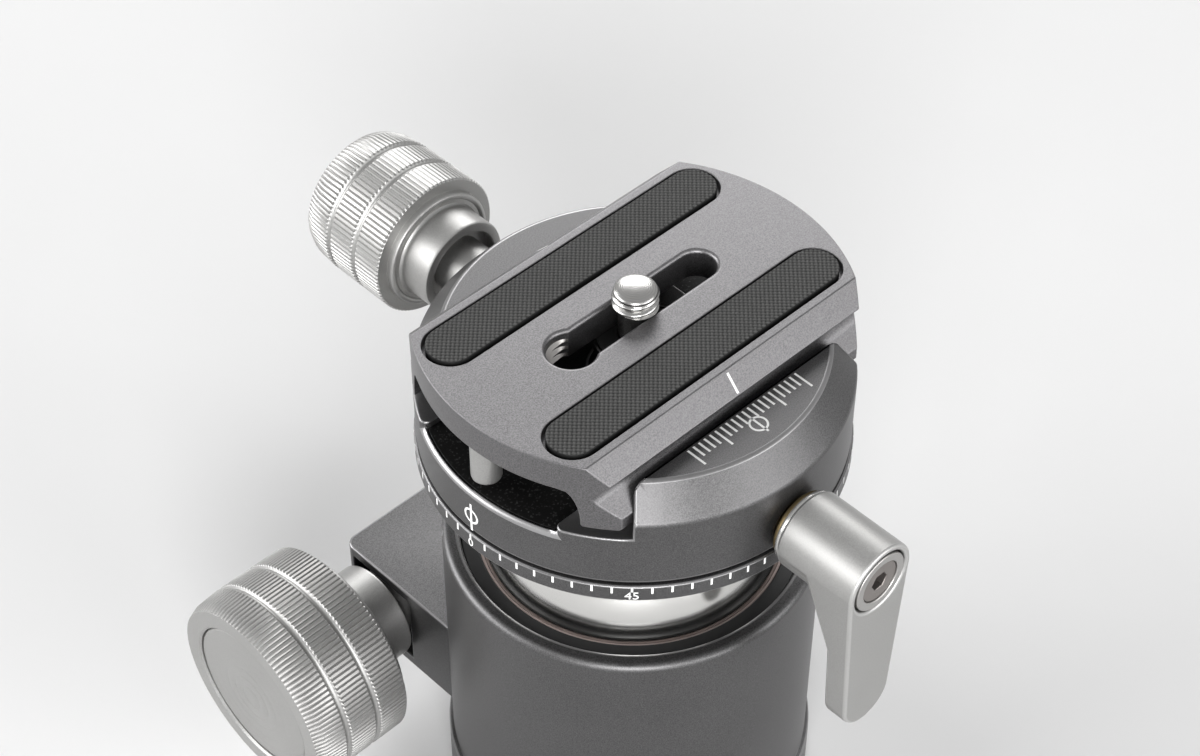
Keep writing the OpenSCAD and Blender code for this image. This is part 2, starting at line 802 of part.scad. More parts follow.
// Sliding jaw, full height of the drum on the knob's side
module moving_jaw() {
    color("gray") difference() {
        union() {
            jaw(wing_z + gap);
            intersection() {
                clamp_drum();
                jaw_sector(clamp_z0);
                translate([-clamp_r, jaw_split, clamp_z0 - 1])
                    cube([2 * clamp_r, clamp_r, wing_h + 1 + 2 * gap]);
            }
        }
        translate([0, 0, knob_z]) along_y() cylinder(d = clamp_screw_d + 2 * loose, h = clamp_r + 1);
        translate([0, spot_y, knob_z]) along_y() cylinder(d = shoulder_d + 3, h = spot_depth + 1);
        for (side = [-1, 1]) translate([side * guide_x, 0, knob_z]) along_y()
            cylinder(d = guide_d + gap, h = guide_end + gap);
    }
}

module knob_washer() {
    color("black") translate([0, spot_y + gap / 2, knob_z]) along_y()
        ring(knob_washer_d, clamp_screw_d + 2 * loose, knob_washer_h);
}

module clamp_knob() {
    color("silver") translate([0, knob_y, knob_z]) along_y()
        banded_knob(knob_d, knob_len, knob_boss_d, knob_boss_len, shoulder_d,
                    knob_boss_y - shoulder_y, clamp_screw_d + 0.04, knob_d - 6, boss_recess);
}

module clamp_screw() {
    color("silver") translate([0, clamp_screw_y, knob_z]) along_y()
        cylinder(d = clamp_screw_d, h = knob_y + knob_len - 3.2 - clamp_screw_y);
}

module clamp_knob_cap() {
    color("silver") translate([0, knob_y + knob_len - 1.2, knob_z]) along_y() knob_cap(knob_d - 6 - gap);
}

// Lever with a round barrel and a tapering arm that thins below the barrel
module pan_lever() {
    r = lever_d / 2;
    tip = lever_tip_d / 2;
    lean = asin((r - tip) / lever_len);
    color("silver") translate([0, 0, lever_z]) difference() {
        union() {
            translate([0, -lever_y, 0]) rotate([90, 0, 0]) cylinder(r = r, h = lever_barrel);
            intersection() {
                rotate([90, 0, 0]) linear_extrude(lever_end) {
                    circle(r = r);
                    translate([0, -lever_len]) circle(r = tip);
                    polygon([
                        [r * cos(lean), -r * sin(lean)],
                        [tip * cos(lean), -lever_len - tip * sin(lean)],
                        [-tip * cos(lean), -lever_len - tip * sin(lean)],
                        [-r * cos(lean), -r * sin(lean)]
                    ]);
                }
                rotate([90, 0, 90]) translate([0, 0, -r]) linear_extrude(2 * r) polygon([
                    [-lever_end, r],
                    [-lever_end, -lever_len - r],
                    [-lever_end + arm_t, -lever_len - r],
                    [-lever_end + arm_t, -r - 7],
                    [-lever_y - 5, 0],
                    [-lever_y - 5, r]
                ]);
            }
        }
        translate([0, -lever_y + 1, 0]) rotate([90, 0, 0]) cylinder(d = brake_d + 0.04, h = lever_barrel + 2);
        translate([0, -lever_end + sleeve_len, 0]) rotate([90, 0, 0])
            cylinder(d = sleeve_d + 2 * loose, h = sleeve_len + 1);
    }
}

// Bright sleeve round the brake screw's head
module lever_sleeve() {
    color("white") translate([0, -lever_end + sleeve_len - eps, lever_z]) rotate([90, 0, 0]) difference() {
        ring(sleeve_d, brake_d + 0.04, sleeve_len);
        translate([0, 0, sleeve_len - brake_head_len - 0.2])
            cylinder(d = brake_head_d + gap, h = brake_head_len + 1);
    }
}

// Socket screw that the lever turns to press the brake shoe on the spindle
module brake_screw() {
    head_y = lever_end - 0.2;
    color("dimgray") rotate([90, 0, 0]) difference() {
        union() {
            translate([0, lever_z, brake_tip]) cylinder(d = brake_d, h = head_y - brake_tip - 1);
            translate([0, lever_z, head_y - brake_head_len + 0.2])
                cylinder(d = brake_head_d, h = brake_head_len - 0.2);
        }
        translate([0, lever_z, head_y - 2]) cylinder(d = 2.9, h = 3, $fn = 6);
    }
}

// Brass washer: a boss in the clamp's spot face, and a flange that stands clear of the degree ring
module lever_washer() {
    color("goldenrod") rotate([90, 0, 0]) translate([0, lever_z, 0]) difference() {
        union() {
            translate([0, 0, lever_flat + gap / 2]) cylinder(d = lever_boss_d, h = lever_flange_y - lever_flat);
            translate([0, 0, lever_flange_y]) cylinder(d = lever_d - 1.7, h = lever_flange_h);
        }
        translate([0, 0, lever_flat - 1]) cylinder(d = brake_d + gap, h = lever_standoff + 3);
    }
}

module lever_shim() {
    color("silver") translate([0, -lever_y + shim_h + 0.05, lever_z]) rotate([90, 0, 0])
        ring(lever_d - 0.7, brake_d + gap, shim_h);
}

// Half of the plate's section as points of y and height, from the top edge down
function plate_half() = [
    [plate_top_w / 2, plate_z1],
    [flare_w / 2, plate_z1 - flare_drop],
    [groove_w / 2, groove_z],
    [foot_w / 2, groove_z - dovetail],
    [foot_w / 2, plate_z0 + foot_edge],
    [foot_w / 2 - foot_edge, plate_z0],
    [channel_w / 2 + foot_edge, plate_z0],
    for (a = [0 : 15 : 75]) [
        channel_w / 2 - channel_in * (1 - cos(a)),
        plate_z0 + foot_edge + (slab_z0 - plate_z0 - foot_edge) * sin(a)
    ],
    [channel_w / 2 - channel_in - channel_step, slab_z0]
];

// Whole section: the half and its mirror image, in order round the outline
function plate_outline() =
    let (half = plate_half(), last = len(half) - 1)
    concat(half, [for (i = [last : -1 : 0]) [-half[i][0], half[i][1]]]);

module qr_plate() {
    color("darkgray") difference() {
        intersection() {
            translate([0, 0, plate_z0 - 1]) cylinder(r = plate_r, h = plate_h + 2);
            translate([-2 * plate_r, 0, 0]) rotate([90, 0, 90]) linear_extrude(4 * plate_r)
                polygon(plate_outline());
        }
        translate([0, 0, slab_z0 - 1]) stadium(slot_len + slot_w, slot_w, slab_h + 2);
        translate([-slot_len / 2, 0, slab_z0 - 1]) cylinder(d = entry_d, h = slab_h + 2);
        for (side = [-1, 1]) {
            translate([0, side * strip_y, plate_z1 - strip_pocket])
                stadium(strip_len + 5 * gap, strip_w + 5 * gap, strip_pocket + 1);
            translate([side * pin_x, 0, slab_z0 - 1]) cylinder(d = pin_d + 0.04, h = pin_seat + 1.1);
        }
    }
}

module grip() {
    color("black") translate([0, 0, plate_z1 - strip_pocket + eps])
        stadium(strip_len, strip_w, strip_pocket + strip_proud);
}

module front_grip() { translate([0, -strip_y, 0]) grip(); }
module rear_grip() { translate([0, strip_y, 0]) grip(); }

// Pins under the plate's ends that stop it against the clamp's pad
module stop_pins() {
    r = pin_d / 2;
    round_off = 0.5;
    color("silver") for (side = [-1, 1]) translate([side * pin_x, 0, 0]) rotate_extrude() polygon([
        [0, pin_z0],
        for (a = [0 : 30 : 90]) [r - round_off + round_off * sin(a), pin_z0 + round_off * (1 - cos(a))],
        [r, slab_z0 + pin_seat],
        [0, slab_z0 + pin_seat]
    ]);
}

module screw_washer() {
    color("black") translate([0, 0, slab_z0 - gap / 2 - washer_t])
        ring(screw_head_d - 0.8, waist_d + 2 * gap, washer_t);
}

// Captive camera screw: coin-slotted head, thin waist in the slot, threaded end with a dome
module camera_screw() {
    color("silver") difference() {
        rotate_extrude() polygon([
            [0, screw_head_z],
            [screw_head_d / 2 - edge, screw_head_z],
            [screw_head_d / 2, screw_head_z + edge],
            [screw_head_d / 2, screw_head_z + screw_head_h],
            [waist_d / 2, screw_head_z + screw_head_h],
            [waist_d / 2, plate_z1 + gap],
            [screw_d / 2, plate_z1 + gap],
            [screw_d / 2, screw_z1 - dome_h],
            [screw_d / 2 - 0.9, screw_z1 - 0.15],
            [0, screw_z1]
        ]);
        translate([-screw_head_d, -0.7, screw_head_z - 1]) cube([2 * screw_head_d, 1.4, 2.2]);
    }
}

base_plate();
base_screws();
housing();
seat_ring();
retaining_ring();
cup_springs();
pinch_nut();
main_washer();
main_knob();
pinch_bolt();
main_knob_cap();
ball_cup();
ball();
scale_ring();
pan_bearing();
spindle_cap();
centre_bolt();
clamp_body();
inlay_plates();
guide_pins();
jaw_springs();
brake_shoe();
moving_jaw();
knob_washer();
clamp_knob();
clamp_screw();
clamp_knob_cap();
pan_lever();
lever_sleeve();
brake_screw();
lever_washer();
lever_shim();
qr_plate();
front_grip();
rear_grip();
stop_pins();
screw_washer();
camera_screw();
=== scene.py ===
import math

import bmesh
import bpy
from mathutils import Matrix, Vector
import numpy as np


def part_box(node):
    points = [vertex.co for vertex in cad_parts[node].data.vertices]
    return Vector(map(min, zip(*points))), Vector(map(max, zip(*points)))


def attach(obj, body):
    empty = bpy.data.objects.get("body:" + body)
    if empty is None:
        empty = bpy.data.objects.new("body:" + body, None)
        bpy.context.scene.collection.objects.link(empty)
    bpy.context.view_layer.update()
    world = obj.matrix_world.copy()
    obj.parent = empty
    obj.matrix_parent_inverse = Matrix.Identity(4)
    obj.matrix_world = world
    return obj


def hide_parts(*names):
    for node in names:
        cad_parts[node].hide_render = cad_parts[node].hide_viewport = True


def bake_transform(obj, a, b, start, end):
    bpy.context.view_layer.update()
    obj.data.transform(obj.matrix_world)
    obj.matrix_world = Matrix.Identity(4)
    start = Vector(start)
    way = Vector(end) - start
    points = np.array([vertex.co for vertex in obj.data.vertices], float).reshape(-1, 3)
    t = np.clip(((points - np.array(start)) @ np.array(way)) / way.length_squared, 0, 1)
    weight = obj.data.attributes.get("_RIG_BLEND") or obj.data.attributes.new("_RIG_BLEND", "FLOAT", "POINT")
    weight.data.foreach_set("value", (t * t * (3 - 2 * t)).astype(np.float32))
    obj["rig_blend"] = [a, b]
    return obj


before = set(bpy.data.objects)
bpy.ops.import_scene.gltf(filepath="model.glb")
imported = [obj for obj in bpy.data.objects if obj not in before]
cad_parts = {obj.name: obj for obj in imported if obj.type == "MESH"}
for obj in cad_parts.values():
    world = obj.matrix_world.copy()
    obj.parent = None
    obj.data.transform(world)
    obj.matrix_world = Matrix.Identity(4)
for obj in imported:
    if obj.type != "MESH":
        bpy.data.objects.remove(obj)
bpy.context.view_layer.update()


# Base plate: a turned aluminium disc that closes the housing from below.
# Blasted and anodised grey, with a tapped hole in the middle for the tripod's stud.
def span(node):
    """Lowest and highest corner of a CAD node, in millimetres."""
    low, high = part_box(node)
    return Vector(low) * 1000, Vector(high) * 1000


def machined(node, radius, rework=None, rubbed_and_lit=1.0):
    """Copy of a machined part, in millimetres: reworked if asked, then with its sharp edges broken."""
    bm = bmesh.new()
    bm.from_mesh(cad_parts[node].data)
    bm.faces.layers.float.new("wear_and_highlight")
    bmesh.ops.scale(bm, vec=(1000, 1000, 1000), verts=bm.verts)
    bmesh.ops.remove_doubles(bm, verts=bm.verts, dist=0.002)
    bmesh.ops.dissolve_limit(bm, angle_limit=math.radians(0.4), verts=bm.verts, edges=bm.edges)
    if rework:
        rework(bm)
    break_edges(bm, radius, lambda edge: True, rubbed_and_lit=rubbed_and_lit)
    low, high = span(node)
    for vert in bm.verts:
        vert.co = [min(max(place, least), most) for place, least, most in zip(vert.co, low, high)]
    return bm


def break_edges(bm, radius, chosen, turn=32, segments=3, rubbed_and_lit=1.0):
    """Rounds the chosen outer edges that turn more than a little, and marks them for paler paint: partly
    wear, partly painted highlight.
    """
    sharp = [
        edge for edge in bm.edges
        if edge.is_manifold and edge.is_convex
        and edge.calc_face_angle() > math.radians(turn) and chosen(edge)
    ]
    made = bmesh.ops.bevel(
        bm, geom=sharp, offset=radius, offset_type="OFFSET", segments=segments, profile=0.5,
        affect="EDGES", clamp_overlap=False, material=-1,
    )
    wear_and_highlight = bm.faces.layers.float["wear_and_highlight"]
    for face in made["faces"]:
        face[wear_and_highlight] = rubbed_and_lit


def piece(name, bm, body, slot, finish, *nodes):
    """Turns a mesh in millimetres into a finished piece that rides on a body, if one is given."""
    smooth_below = 38
    bmesh.ops.remove_doubles(bm, verts=bm.verts, dist=0.0005)
    bmesh.ops.recalc_face_normals(bm, faces=bm.faces)
    if bm.calc_volume(signed=True) < 0:
        bmesh.ops.reverse_faces(bm, faces=bm.faces)
    bmesh.ops.scale(bm, vec=(0.001, 0.001, 0.001), verts=bm.verts)
    mesh = bpy.data.meshes.new(name)
    bm.to_mesh(mesh)
    bm.free()
    mesh.shade_smooth()
    mesh.set_sharp_from_angle(angle=math.radians(smooth_below))
    mesh.materials.append(finish.material)
    obj = bpy.data.objects.new(name, mesh)
    bpy.context.scene.collection.objects.link(obj)
    even = obj.modifiers.new("even_shading", "WEIGHTED_NORMAL")
    even.keep_sharp = True
    if body:
        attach(obj, body)
    if nodes:
        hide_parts(*nodes)
    return obj


def milled(name, node, radius, body, slot, finish, rework=None, rubbed_and_lit=1.0):
    """Finished piece made from one machined part, which it replaces."""
    piece(name, machined(node, radius, rework, rubbed_and_lit), body, slot, finish, node)


class Field:
    """A value that varies over a surface: a node's socket with ordinary arithmetic."""

    def __init__(self, tree, socket):
        self.tree = tree
        self.socket = socket

    def math(self, operation, *values):
        node = self.tree.nodes.new("ShaderNodeMath")
        node.operation = operation
        for socket, value in zip(node.inputs, values):
            if isinstance(value, Field):
                self.tree.links.new(value.socket, socket)
            else:
                socket.default_value = value
        return Field(self.tree, node.outputs[0])

    def __add__(self, other):
        return self.math("ADD", self, other)

    def __sub__(self, other):
        return self.math("SUBTRACT", self, other)

    def __rsub__(self, other):
        return self.math("SUBTRACT", other, self)

    def __mul__(self, other):
        return self.math("MULTIPLY", self, other)

    def __truediv__(self, other):
        return self.math("DIVIDE", self, other)

    def __rtruediv__(self, other):
        return self.math("DIVIDE", other, self)

    __radd__ = __add__
    __rmul__ = __mul__


class Finish:
    """A procedural finish: a Principled shader and the nodes that feed it."""

    def __init__(self, name, **fixed):
        self.material = bpy.data.materials.new(name)
        self.material.use_nodes = True
        self.tree = self.material.node_tree
        self.shader = self.tree.nodes["Principled BSDF"]
        for key, value in fixed.items():
            self.shader.inputs[key.replace("_", " ")].default_value = value
        self.place = self.node("ShaderNodeTexCoord", {}, {}, out="Object")

    def node(self, kind, settings, sockets, out=0):
        """Adds a node: its settings first, then the values or links of its sockets."""
        made = self.tree.nodes.new(kind)
        for key, value in settings.items():
            setattr(made, key, value)
        for key, value in sockets.items():
            self.link(value, made.inputs[key])
        return Field(self.tree, made.outputs[out])

    def link(self, value, socket):
        """Joins a field to a socket, or sets the socket's own value."""
        if isinstance(value, Field):
            self.tree.links.new(value.socket, socket)
        else:
            socket.default_value = value

    def feed(self, **sockets):
        """Gives the shader's sockets their fields, each named with underlines for blanks."""
        for key, value in sockets.items():
            self.link(value, self.shader.inputs[key.replace("_", " ")])

    def noise(self, size_mm, detail):
        """Noise with lumps of about that size, 0 to 1."""
        return self.node(
            "ShaderNodeTexNoise", {},
            {"Vector": self.place, "Scale": 1000 / size_mm, "Detail": detail},
        )

    def blend(self, mask, colour_a, colour_b):
        """Colour a where the mask is 0, colour b where it is 1."""
        full = [(*c, 1) if isinstance(c, tuple) else c for c in (colour_a, colour_b)]
        return self.node(
            "ShaderNodeMix", {"data_type": "RGBA", "clamp_factor": True},
            {0: mask, 6: full[0], 7: full[1]}, out=2,
        )

    def wear_and_highlight(self, radius_mm):
        """Mask of the outer edges: the broken ones, and where a rounded normal leaves the true one. It
        paints edges paler: partly wear, partly painted highlight.
        """
        broken = self.node("ShaderNodeAttribute", {"attribute_name": "wear_and_highlight"}, {}, out="Fac")
        soft = self.node("ShaderNodeBevel", {"samples": 4}, {"Radius": radius_mm / 1000})
        true = self.node("ShaderNodeNewGeometry", {}, {}, out="Normal")
        along = self.node(
            "ShaderNodeVectorMath", {"operation": "DOT_PRODUCT"}, {0: soft, 1: true}, out="Value",
        )
        return broken + (1 - along) * 4

    def bump(self, height, depth_mm, strength):
        """Normal bent by a height field of that depth."""
        return self.node(
            "ShaderNodeBump", {},
            {"Strength": strength, "Distance": depth_mm / 1000, "Height": height},
        )


def blasted(name, colour, rough, rub_and_highlight, grain_mm=0.17):
    """Bead-blasted, anodised aluminium: fine sparkling grain, soft sheen, and edges painted paler: partly
    wear, partly painted highlight.
    """
    finish = Finish(name, Metallic=0.95)
    grain = finish.noise(grain_mm, 2.0)
    cloud = finish.noise(14.0, 2.0)
    shade = (grain - 0.5) * 2.6 + (cloud - 0.5) * 0.4 + 0.5
    dark = tuple(c * 0.70 for c in colour)
    pale = tuple(min(1.0, c * 1.30) for c in colour)
    body = finish.blend(shade, dark, pale)
    # Edges are painted a paler grey here: partly wear, partly painted highlight.
    edge = finish.wear_and_highlight(0.2) * (0.4 + cloud * 1.2) * rub_and_highlight
    rubbed_and_lit = tuple(min(1.0, c * 2.2 + 0.12) for c in colour)
    finish.feed(
        Base_Color=finish.blend(edge, body, rubbed_and_lit),
        Roughness=rough + (grain - 0.5) * 0.25 + (cloud - 0.5) * 0.06 - edge * 0.1,
        Normal=finish.bump(grain, 0.015, 0.7),
    )
    return finish


grey = blasted("anodised_grey_finish", (0.108, 0.1065, 0.108), 0.42, 0.5)
milled("base_disc", "base_plate", 0.3, "stand", "anodised_grey", grey)


def tapped(radius, depth, pitch, at, along, start=0.0, sweep=360.0):
    """Ridges of a tapped hole: V sections swept round the wall, one for each turn."""
    steps = 64
    wall = radius + 0.02
    tip = radius - 0.42 * pitch
    ridge = 0.60 * pitch
    first = Matrix.Rotation(math.radians(start), 3, "Z")
    full = sweep == 360.0
    bm = bmesh.new()
    for turn in range(int(depth / pitch)):
        low = (turn + 0.12) * pitch
        section = [
            bm.verts.new((wall, 0, low)),
            bm.verts.new((tip, 0, low + ridge / 2)),
            bm.verts.new((wall, 0, low + ridge)),
        ]
        bmesh.ops.rotate(bm, verts=section, cent=(0, 0, 0), matrix=first)
        face = bm.faces.new(section)
        geom = section + list(face.edges) + ([] if full else [face])
        bmesh.ops.spin(
            bm, geom=geom, cent=(0, 0, 0), axis=(0, 0, 1), angle=math.radians(sweep), steps=steps,
            use_merge=full, use_duplicate=False,
        )
        if full:
            bmesh.ops.delete(bm, geom=[face], context="FACES_ONLY")
    if not full:
        run_out(bm, wall, start, sweep)
    turn_to(bm, at, along)
    return bm


def run_out(bm, wall, start, sweep):
    """Lets ridges that don't go all round sink into the wall towards both ends."""
    least = 0.1
    slope_degrees = 35
    for vert in bm.verts:
        passed = (math.degrees(math.atan2(vert.co.y, vert.co.x)) - start) % 360
        passed = 0 if passed > 359.9 else passed
        share = min(1, least + max(0, min(passed, sweep - passed)) / slope_degrees)
        out = math.hypot(vert.co.x, vert.co.y)
        vert.co.xy *= (wall + (out - wall) * share) / out


def turn_to(bm, at, along):
    """Stands a shape made on Z at a point, along another axis."""
    turn = Vector((0, 0, 1)).rotation_difference(Vector(along)).to_matrix().to_4x4()
    bmesh.ops.transform(bm, matrix=Matrix.Translation(at) @ turn, verts=bm.verts)


stud_hole_r = 4.0
stud_hole_depth = 10.0
stud_pitch = 25.4 / 16
piece("tripod_thread_ridges", tapped(stud_hole_r, stud_hole_depth, stud_pitch, (0, 0, 0), (0, 0, 1)),
      "stand", "anodised_grey", grey)


# Base screws: four countersunk steel screws with hexagon sockets, oxidised dark.
# They hold the base plate to the housing, with their heads sunk into its underside.
def turned_metal(name, colour, rough):
    """Steel or brass from the lathe: fine streaks and faint stains."""
    streak = 0.25
    finish = Finish(name, Metallic=0.95)
    fine = finish.noise(0.12, 2.0)
    stain = finish.noise(5.0, 3.0)
    dark = tuple(c * (1 - streak) for c in colour)
    finish.feed(
        Base_Color=finish.blend(fine * 0.5 + stain * 0.5, dark, colour),
        Roughness=rough + (fine - 0.5) * 0.12 + (stain - 0.5) * 0.08,
        Normal=finish.bump(fine, 0.006, 0.4),
    )
    return finish


dark_steel = turned_metal("dark_oxide_steel", (0.105, 0.103, 0.100), 0.38)
bright_steel = turned_metal("turned_stainless", (0.62, 0.615, 0.60), 0.24)
milled("base_plate_screws", "base_screws", 0.12, "stand", "dark_steel", dark_steel)


# Housing: the ball's socket and its split collar, milled from one piece of aluminium.
# The square block on its side carries the pinch bolt; blasted and anodised grey.
milled("socket_housing", "housing", 0.35, "stand", "anodised_grey", grey)


# Seat ring: a thin turned ring of pinkish low-friction polymer that the ball runs against.
# A black threaded ring holds it down in the rim, with a thin lip over the seat's outer part.
def moulded(name, dark, pale, rough, grain_mm, depth_mm):
    """Plastic or rubber with a fine grain."""
    finish = Finish(name)
    grain = finish.noise(grain_mm, 3.0)
    cloud = finish.noise(6.0, 2.0)
    finish.feed(
        Base_Color=finish.blend(grain * 0.6 + cloud * 0.4, dark, pale),
        Roughness=rough + (grain - 0.5) * 0.2,
        Normal=finish.bump(grain, depth_mm, 0.5),
    )
    return finish


seat_polymer = moulded("seat_polymer_finish", (0.42, 0.33, 0.31), (0.56, 0.46, 0.43), 0.5, 0.3, 0.006)
black_plastic = moulded(
    "black_plastic_finish", (0.008, 0.008, 0.008), (0.020, 0.020, 0.021), 0.42, 0.25, 0.008,
)
ball_low, ball_high = span("ball")
ball_r = (ball_high.x - ball_low.x) / 2
ball_z = ball_low.z + ball_r
seat_low, seat_high = span("seat_ring")
hold_low, hold_high = span("retaining_ring")
seat_fit = 0.05
bowl_r = seat_high.x - 0.4
lip_t = 0.45
lip_bare = 0.5


def ball_at(height):
    """Radius of the seat's round face at a height."""
    return math.sqrt((ball_r + seat_fit) ** 2 - (height - ball_z) ** 2)


def outline(bm, points):
    """Chain of edges on XZ through (radius, distance) points."""
    verts = [bm.verts.new((radius, 0, distance)) for radius, distance in points]
    return verts + [bm.edges.new(pair) for pair in zip(verts, verts[1:])]


def spin_round(bm, geom, steps):
    """Sweeps an outline once round Z and closes it on itself."""
    bmesh.ops.spin(
        bm, geom=geom, cent=(0, 0, 0), axis=(0, 0, 1), angle=2 * math.pi, steps=steps,
        use_merge=True, use_duplicate=False,
    )


def turned(profile, at, along, steps=128):
    """Solid of revolution from (radius, distance) pairs, listed from one end to the other."""
    bm = bmesh.new()
    spin_round(bm, outline(bm, profile), steps)
    bmesh.ops.remove_doubles(bm, verts=bm.verts, dist=0.0005)
    turn_to(bm, at, along)
    return bm


seat_steps = 8
seat_top = hold_high.z - lip_t - seat_fit
rise = (seat_top - ball_z) / seat_steps
seat_profile = [(bowl_r, seat_low.z), (seat_high.x, seat_low.z), (seat_high.x, seat_top)]
seat_profile += [(ball_at(seat_top - step * rise), seat_top - step * rise) for step in range(seat_steps)]
seat_profile += [(bowl_r, ball_z), (bowl_r, seat_low.z)]
piece("ball_seat_ring", turned(seat_profile, (0, 0, 0), (0, 0, 1)), "stand", "seat_polymer", seat_polymer,
      "seat_ring")
lip_r = ball_at(hold_high.z) + lip_bare
hold_r, hold_top = hold_high.x, hold_high.z
hold_in = seat_high.x + seat_fit
hold_edge = 0.2
hold_profile = [(hold_in, hold_low.z), (hold_r, hold_low.z), (hold_r, hold_top - hold_edge)]
hold_profile += [(hold_r - hold_edge, hold_top), (lip_r + hold_edge, hold_top)]
hold_profile += [(lip_r, hold_top - hold_edge), (lip_r, hold_top - lip_t)]
hold_profile += [(hold_in, hold_top - lip_t), (hold_in, hold_low.z)]
piece("rim_retaining_ring", turned(hold_profile, (0, 0, 0), (0, 0, 1)), "stand", "black_plastic",
      black_plastic, "retaining_ring")


# Disc springs and cup: two spring-steel discs lift a tapered brass cup against the ball.
# They sit inside the collar, out of sight, and the cup turns with the ball.
def take_in(bm, other):
    """Adds another shape to a mesh and lets go of it."""
    passed = bpy.data.meshes.new("passed")
    other.to_mesh(passed)
    other.free()
    bm.from_mesh(passed)
    bpy.data.meshes.remove(passed)


brass = turned_metal("turned_brass", (0.25, 0.19, 0.10), 0.36)
disc_low, disc_high = span("cup_springs")
disc_in = 6.5
disc_t = 1.4
disc_gap = 0.02
disc_out = disc_high.x
disc_rise = (disc_high.z - disc_low.z) / 2 - disc_t
disc_top = disc_rise + disc_t - disc_gap
disc_profile = [(disc_in, disc_rise), (disc_out, 0), (disc_out, disc_t), (disc_in, disc_top)]
disc_profile += [(disc_in, disc_rise)]
disc_springs = bmesh.new()
for lean in (1, -1):
    foot = disc_low.z if lean > 0 else disc_high.z
    take_in(disc_springs, turned(disc_profile, (0, 0, foot), (0, 0, lean)))
piece("cup_disc_springs", disc_springs, "stand", "bright_steel", bright_steel, "cup_springs")
milled("lifting_cup", "ball_cup", 0.3, "cup", "brass", brass)


# Pinch nut and thrust washer: a slotted round steel nut in the block's far end,
# and a brass washer at the bottom of its recess that the main knob pushes against.
milled("pinch_round_nut", "pinch_nut", 0.2, "stand", "bright_steel", bright_steel)
milled("main_thrust_washer", "main_washer", 0.12, "thrust", "brass", brass)


# Main knob: turned from aluminium bar in three bands with straight knurling, satin anodised.
# A steel bolt is fixed in it and pulls the split collar together; a domed disc closes its end.
disc_seat = 1.2


def banded_knob(radius, length, boss_r, boss_len, nose_r, nose_len, cap_r, ridges, at, along, recess=0):
    """Knob of three knurled bands: each has small chamfers, with a shallow groove between bands."""
    groove = 0.8
    deep = 0.5
    chamfer = 0.25
    knurl_deep = 0.22
    edge = 0.15
    band = length / 3
    lip_r = radius - 1.9
    foot = -boss_len
    profile = [(0, foot - nose_len), (nose_r, foot - nose_len), (nose_r, foot + recess)]
    if recess:
        recess_r = (nose_r + boss_r) / 2
        profile += [(recess_r, foot + recess), (recess_r, foot + edge), (recess_r + edge, foot)]
    profile += [(boss_r - 0.5, foot), (boss_r - edge, foot + edge), (boss_r, foot + 0.5)]
    profile += [(boss_r, -1.5), (boss_r + 0.08, -1.2), (boss_r + 0.3, -0.95), (lip_r - 0.95, -0.9)]
    profile += [(lip_r - 0.85, -1.08), (lip_r - 0.6, -1.2), (lip_r - 0.3, -1.16), (lip_r - 0.08, -1.0)]
    profile += [(lip_r, -0.75), (lip_r, 0)]
    knurled = []
    for index in range(3):
        low = index * band + (groove / 2 if index else 0)
        high = (index + 1) * band - (groove / 2 if index < 2 else 0)
        end_drop = 0.9 if index == 2 else chamfer
        end_len = 1.5 if index == 2 else chamfer
        profile += [(radius - deep, low - 0.24), (radius - deep + 0.1, low - 0.1)] if index else []
        profile += [(radius - chamfer, low), (radius, low + chamfer)]
        knurled += [len(profile) - 1, len(profile)]
        profile += [(radius - (0.3 if index == 2 else 0), high - end_len), (radius - end_drop, high)]
        profile += [(radius - deep + 0.1, high + 0.1), (radius - deep, high + 0.24)] if index < 2 else []
    profile += [(cap_r + 0.35, length), (cap_r, length - 0.3), (cap_r, length - disc_seat)]
    profile += [(0, length - disc_seat)]
    heights = [profile[i] for i in knurled]
    columns = ridges * 4
    bm = bmesh.new()
    spin_round(bm, outline(bm, profile), columns)
    for vert in bm.verts:
        out = math.hypot(vert.co.x, vert.co.y)
        column = round(math.atan2(vert.co.y, vert.co.x) / (2 * math.pi) * columns) % 4
        on_band = any(abs(out - r) < 0.01 and abs(vert.co.z - z) < 0.01 for r, z in heights)
        if on_band and column == 0:
            vert.co.xy *= (out - knurl_deep) / out
    bmesh.ops.remove_doubles(bm, verts=bm.verts, dist=0.0005)
    turn_to(bm, at, along)
    return bm


def domed_disc(radius, at, along):
    """Thin disc with a rounded edge, faint turning rings and a slight dome."""
    rim_t = 0.88
    dome = 0.2
    ring_w = 0.12
    ring_deep = 0.04
    rings = 5
    flat_r = radius - 0.5
    profile = [(0, 0), (radius, 0), (radius, 0.45), (radius - 0.15, 0.72), (flat_r, rim_t)]
    for index in range(rings):
        out = flat_r * (1 - (index + 1) / (rings + 1))
        rise = rim_t + dome * (1 - (out / radius) ** 2)
        profile += [(out + ring_w, rise), (out, rise - ring_deep), (out - ring_w, rise)]
    profile += [(0, rim_t + dome)]
    return turned(profile, at, along)


def satin(name, colour, rough):
    """Turned aluminium, satin anodised: very fine grain, a soft bright sheen, and edges painted paler as
    painted highlight, partly wear.
    """
    finish = Finish(name, Metallic=0.85)
    grain = finish.noise(0.20, 2.0)
    cloud = finish.noise(9.0, 2.0)
    dark = tuple(c * 0.80 for c in colour)
    body = finish.blend((grain - 0.5) * 1.8 + (cloud - 0.5) * 0.4 + 0.5, dark, colour)
    finish.feed(
        # Edges and knurl crests painted paler: painted highlight, partly wear.
        Base_Color=finish.blend(finish.wear_and_highlight(0.12) * 0.28, body, (0.70, 0.70, 0.69)),
        Roughness=rough + (grain - 0.5) * 0.2 + (cloud - 0.5) * 0.05,
        Normal=finish.bump(grain, 0.010, 0.6),
    )
    return finish


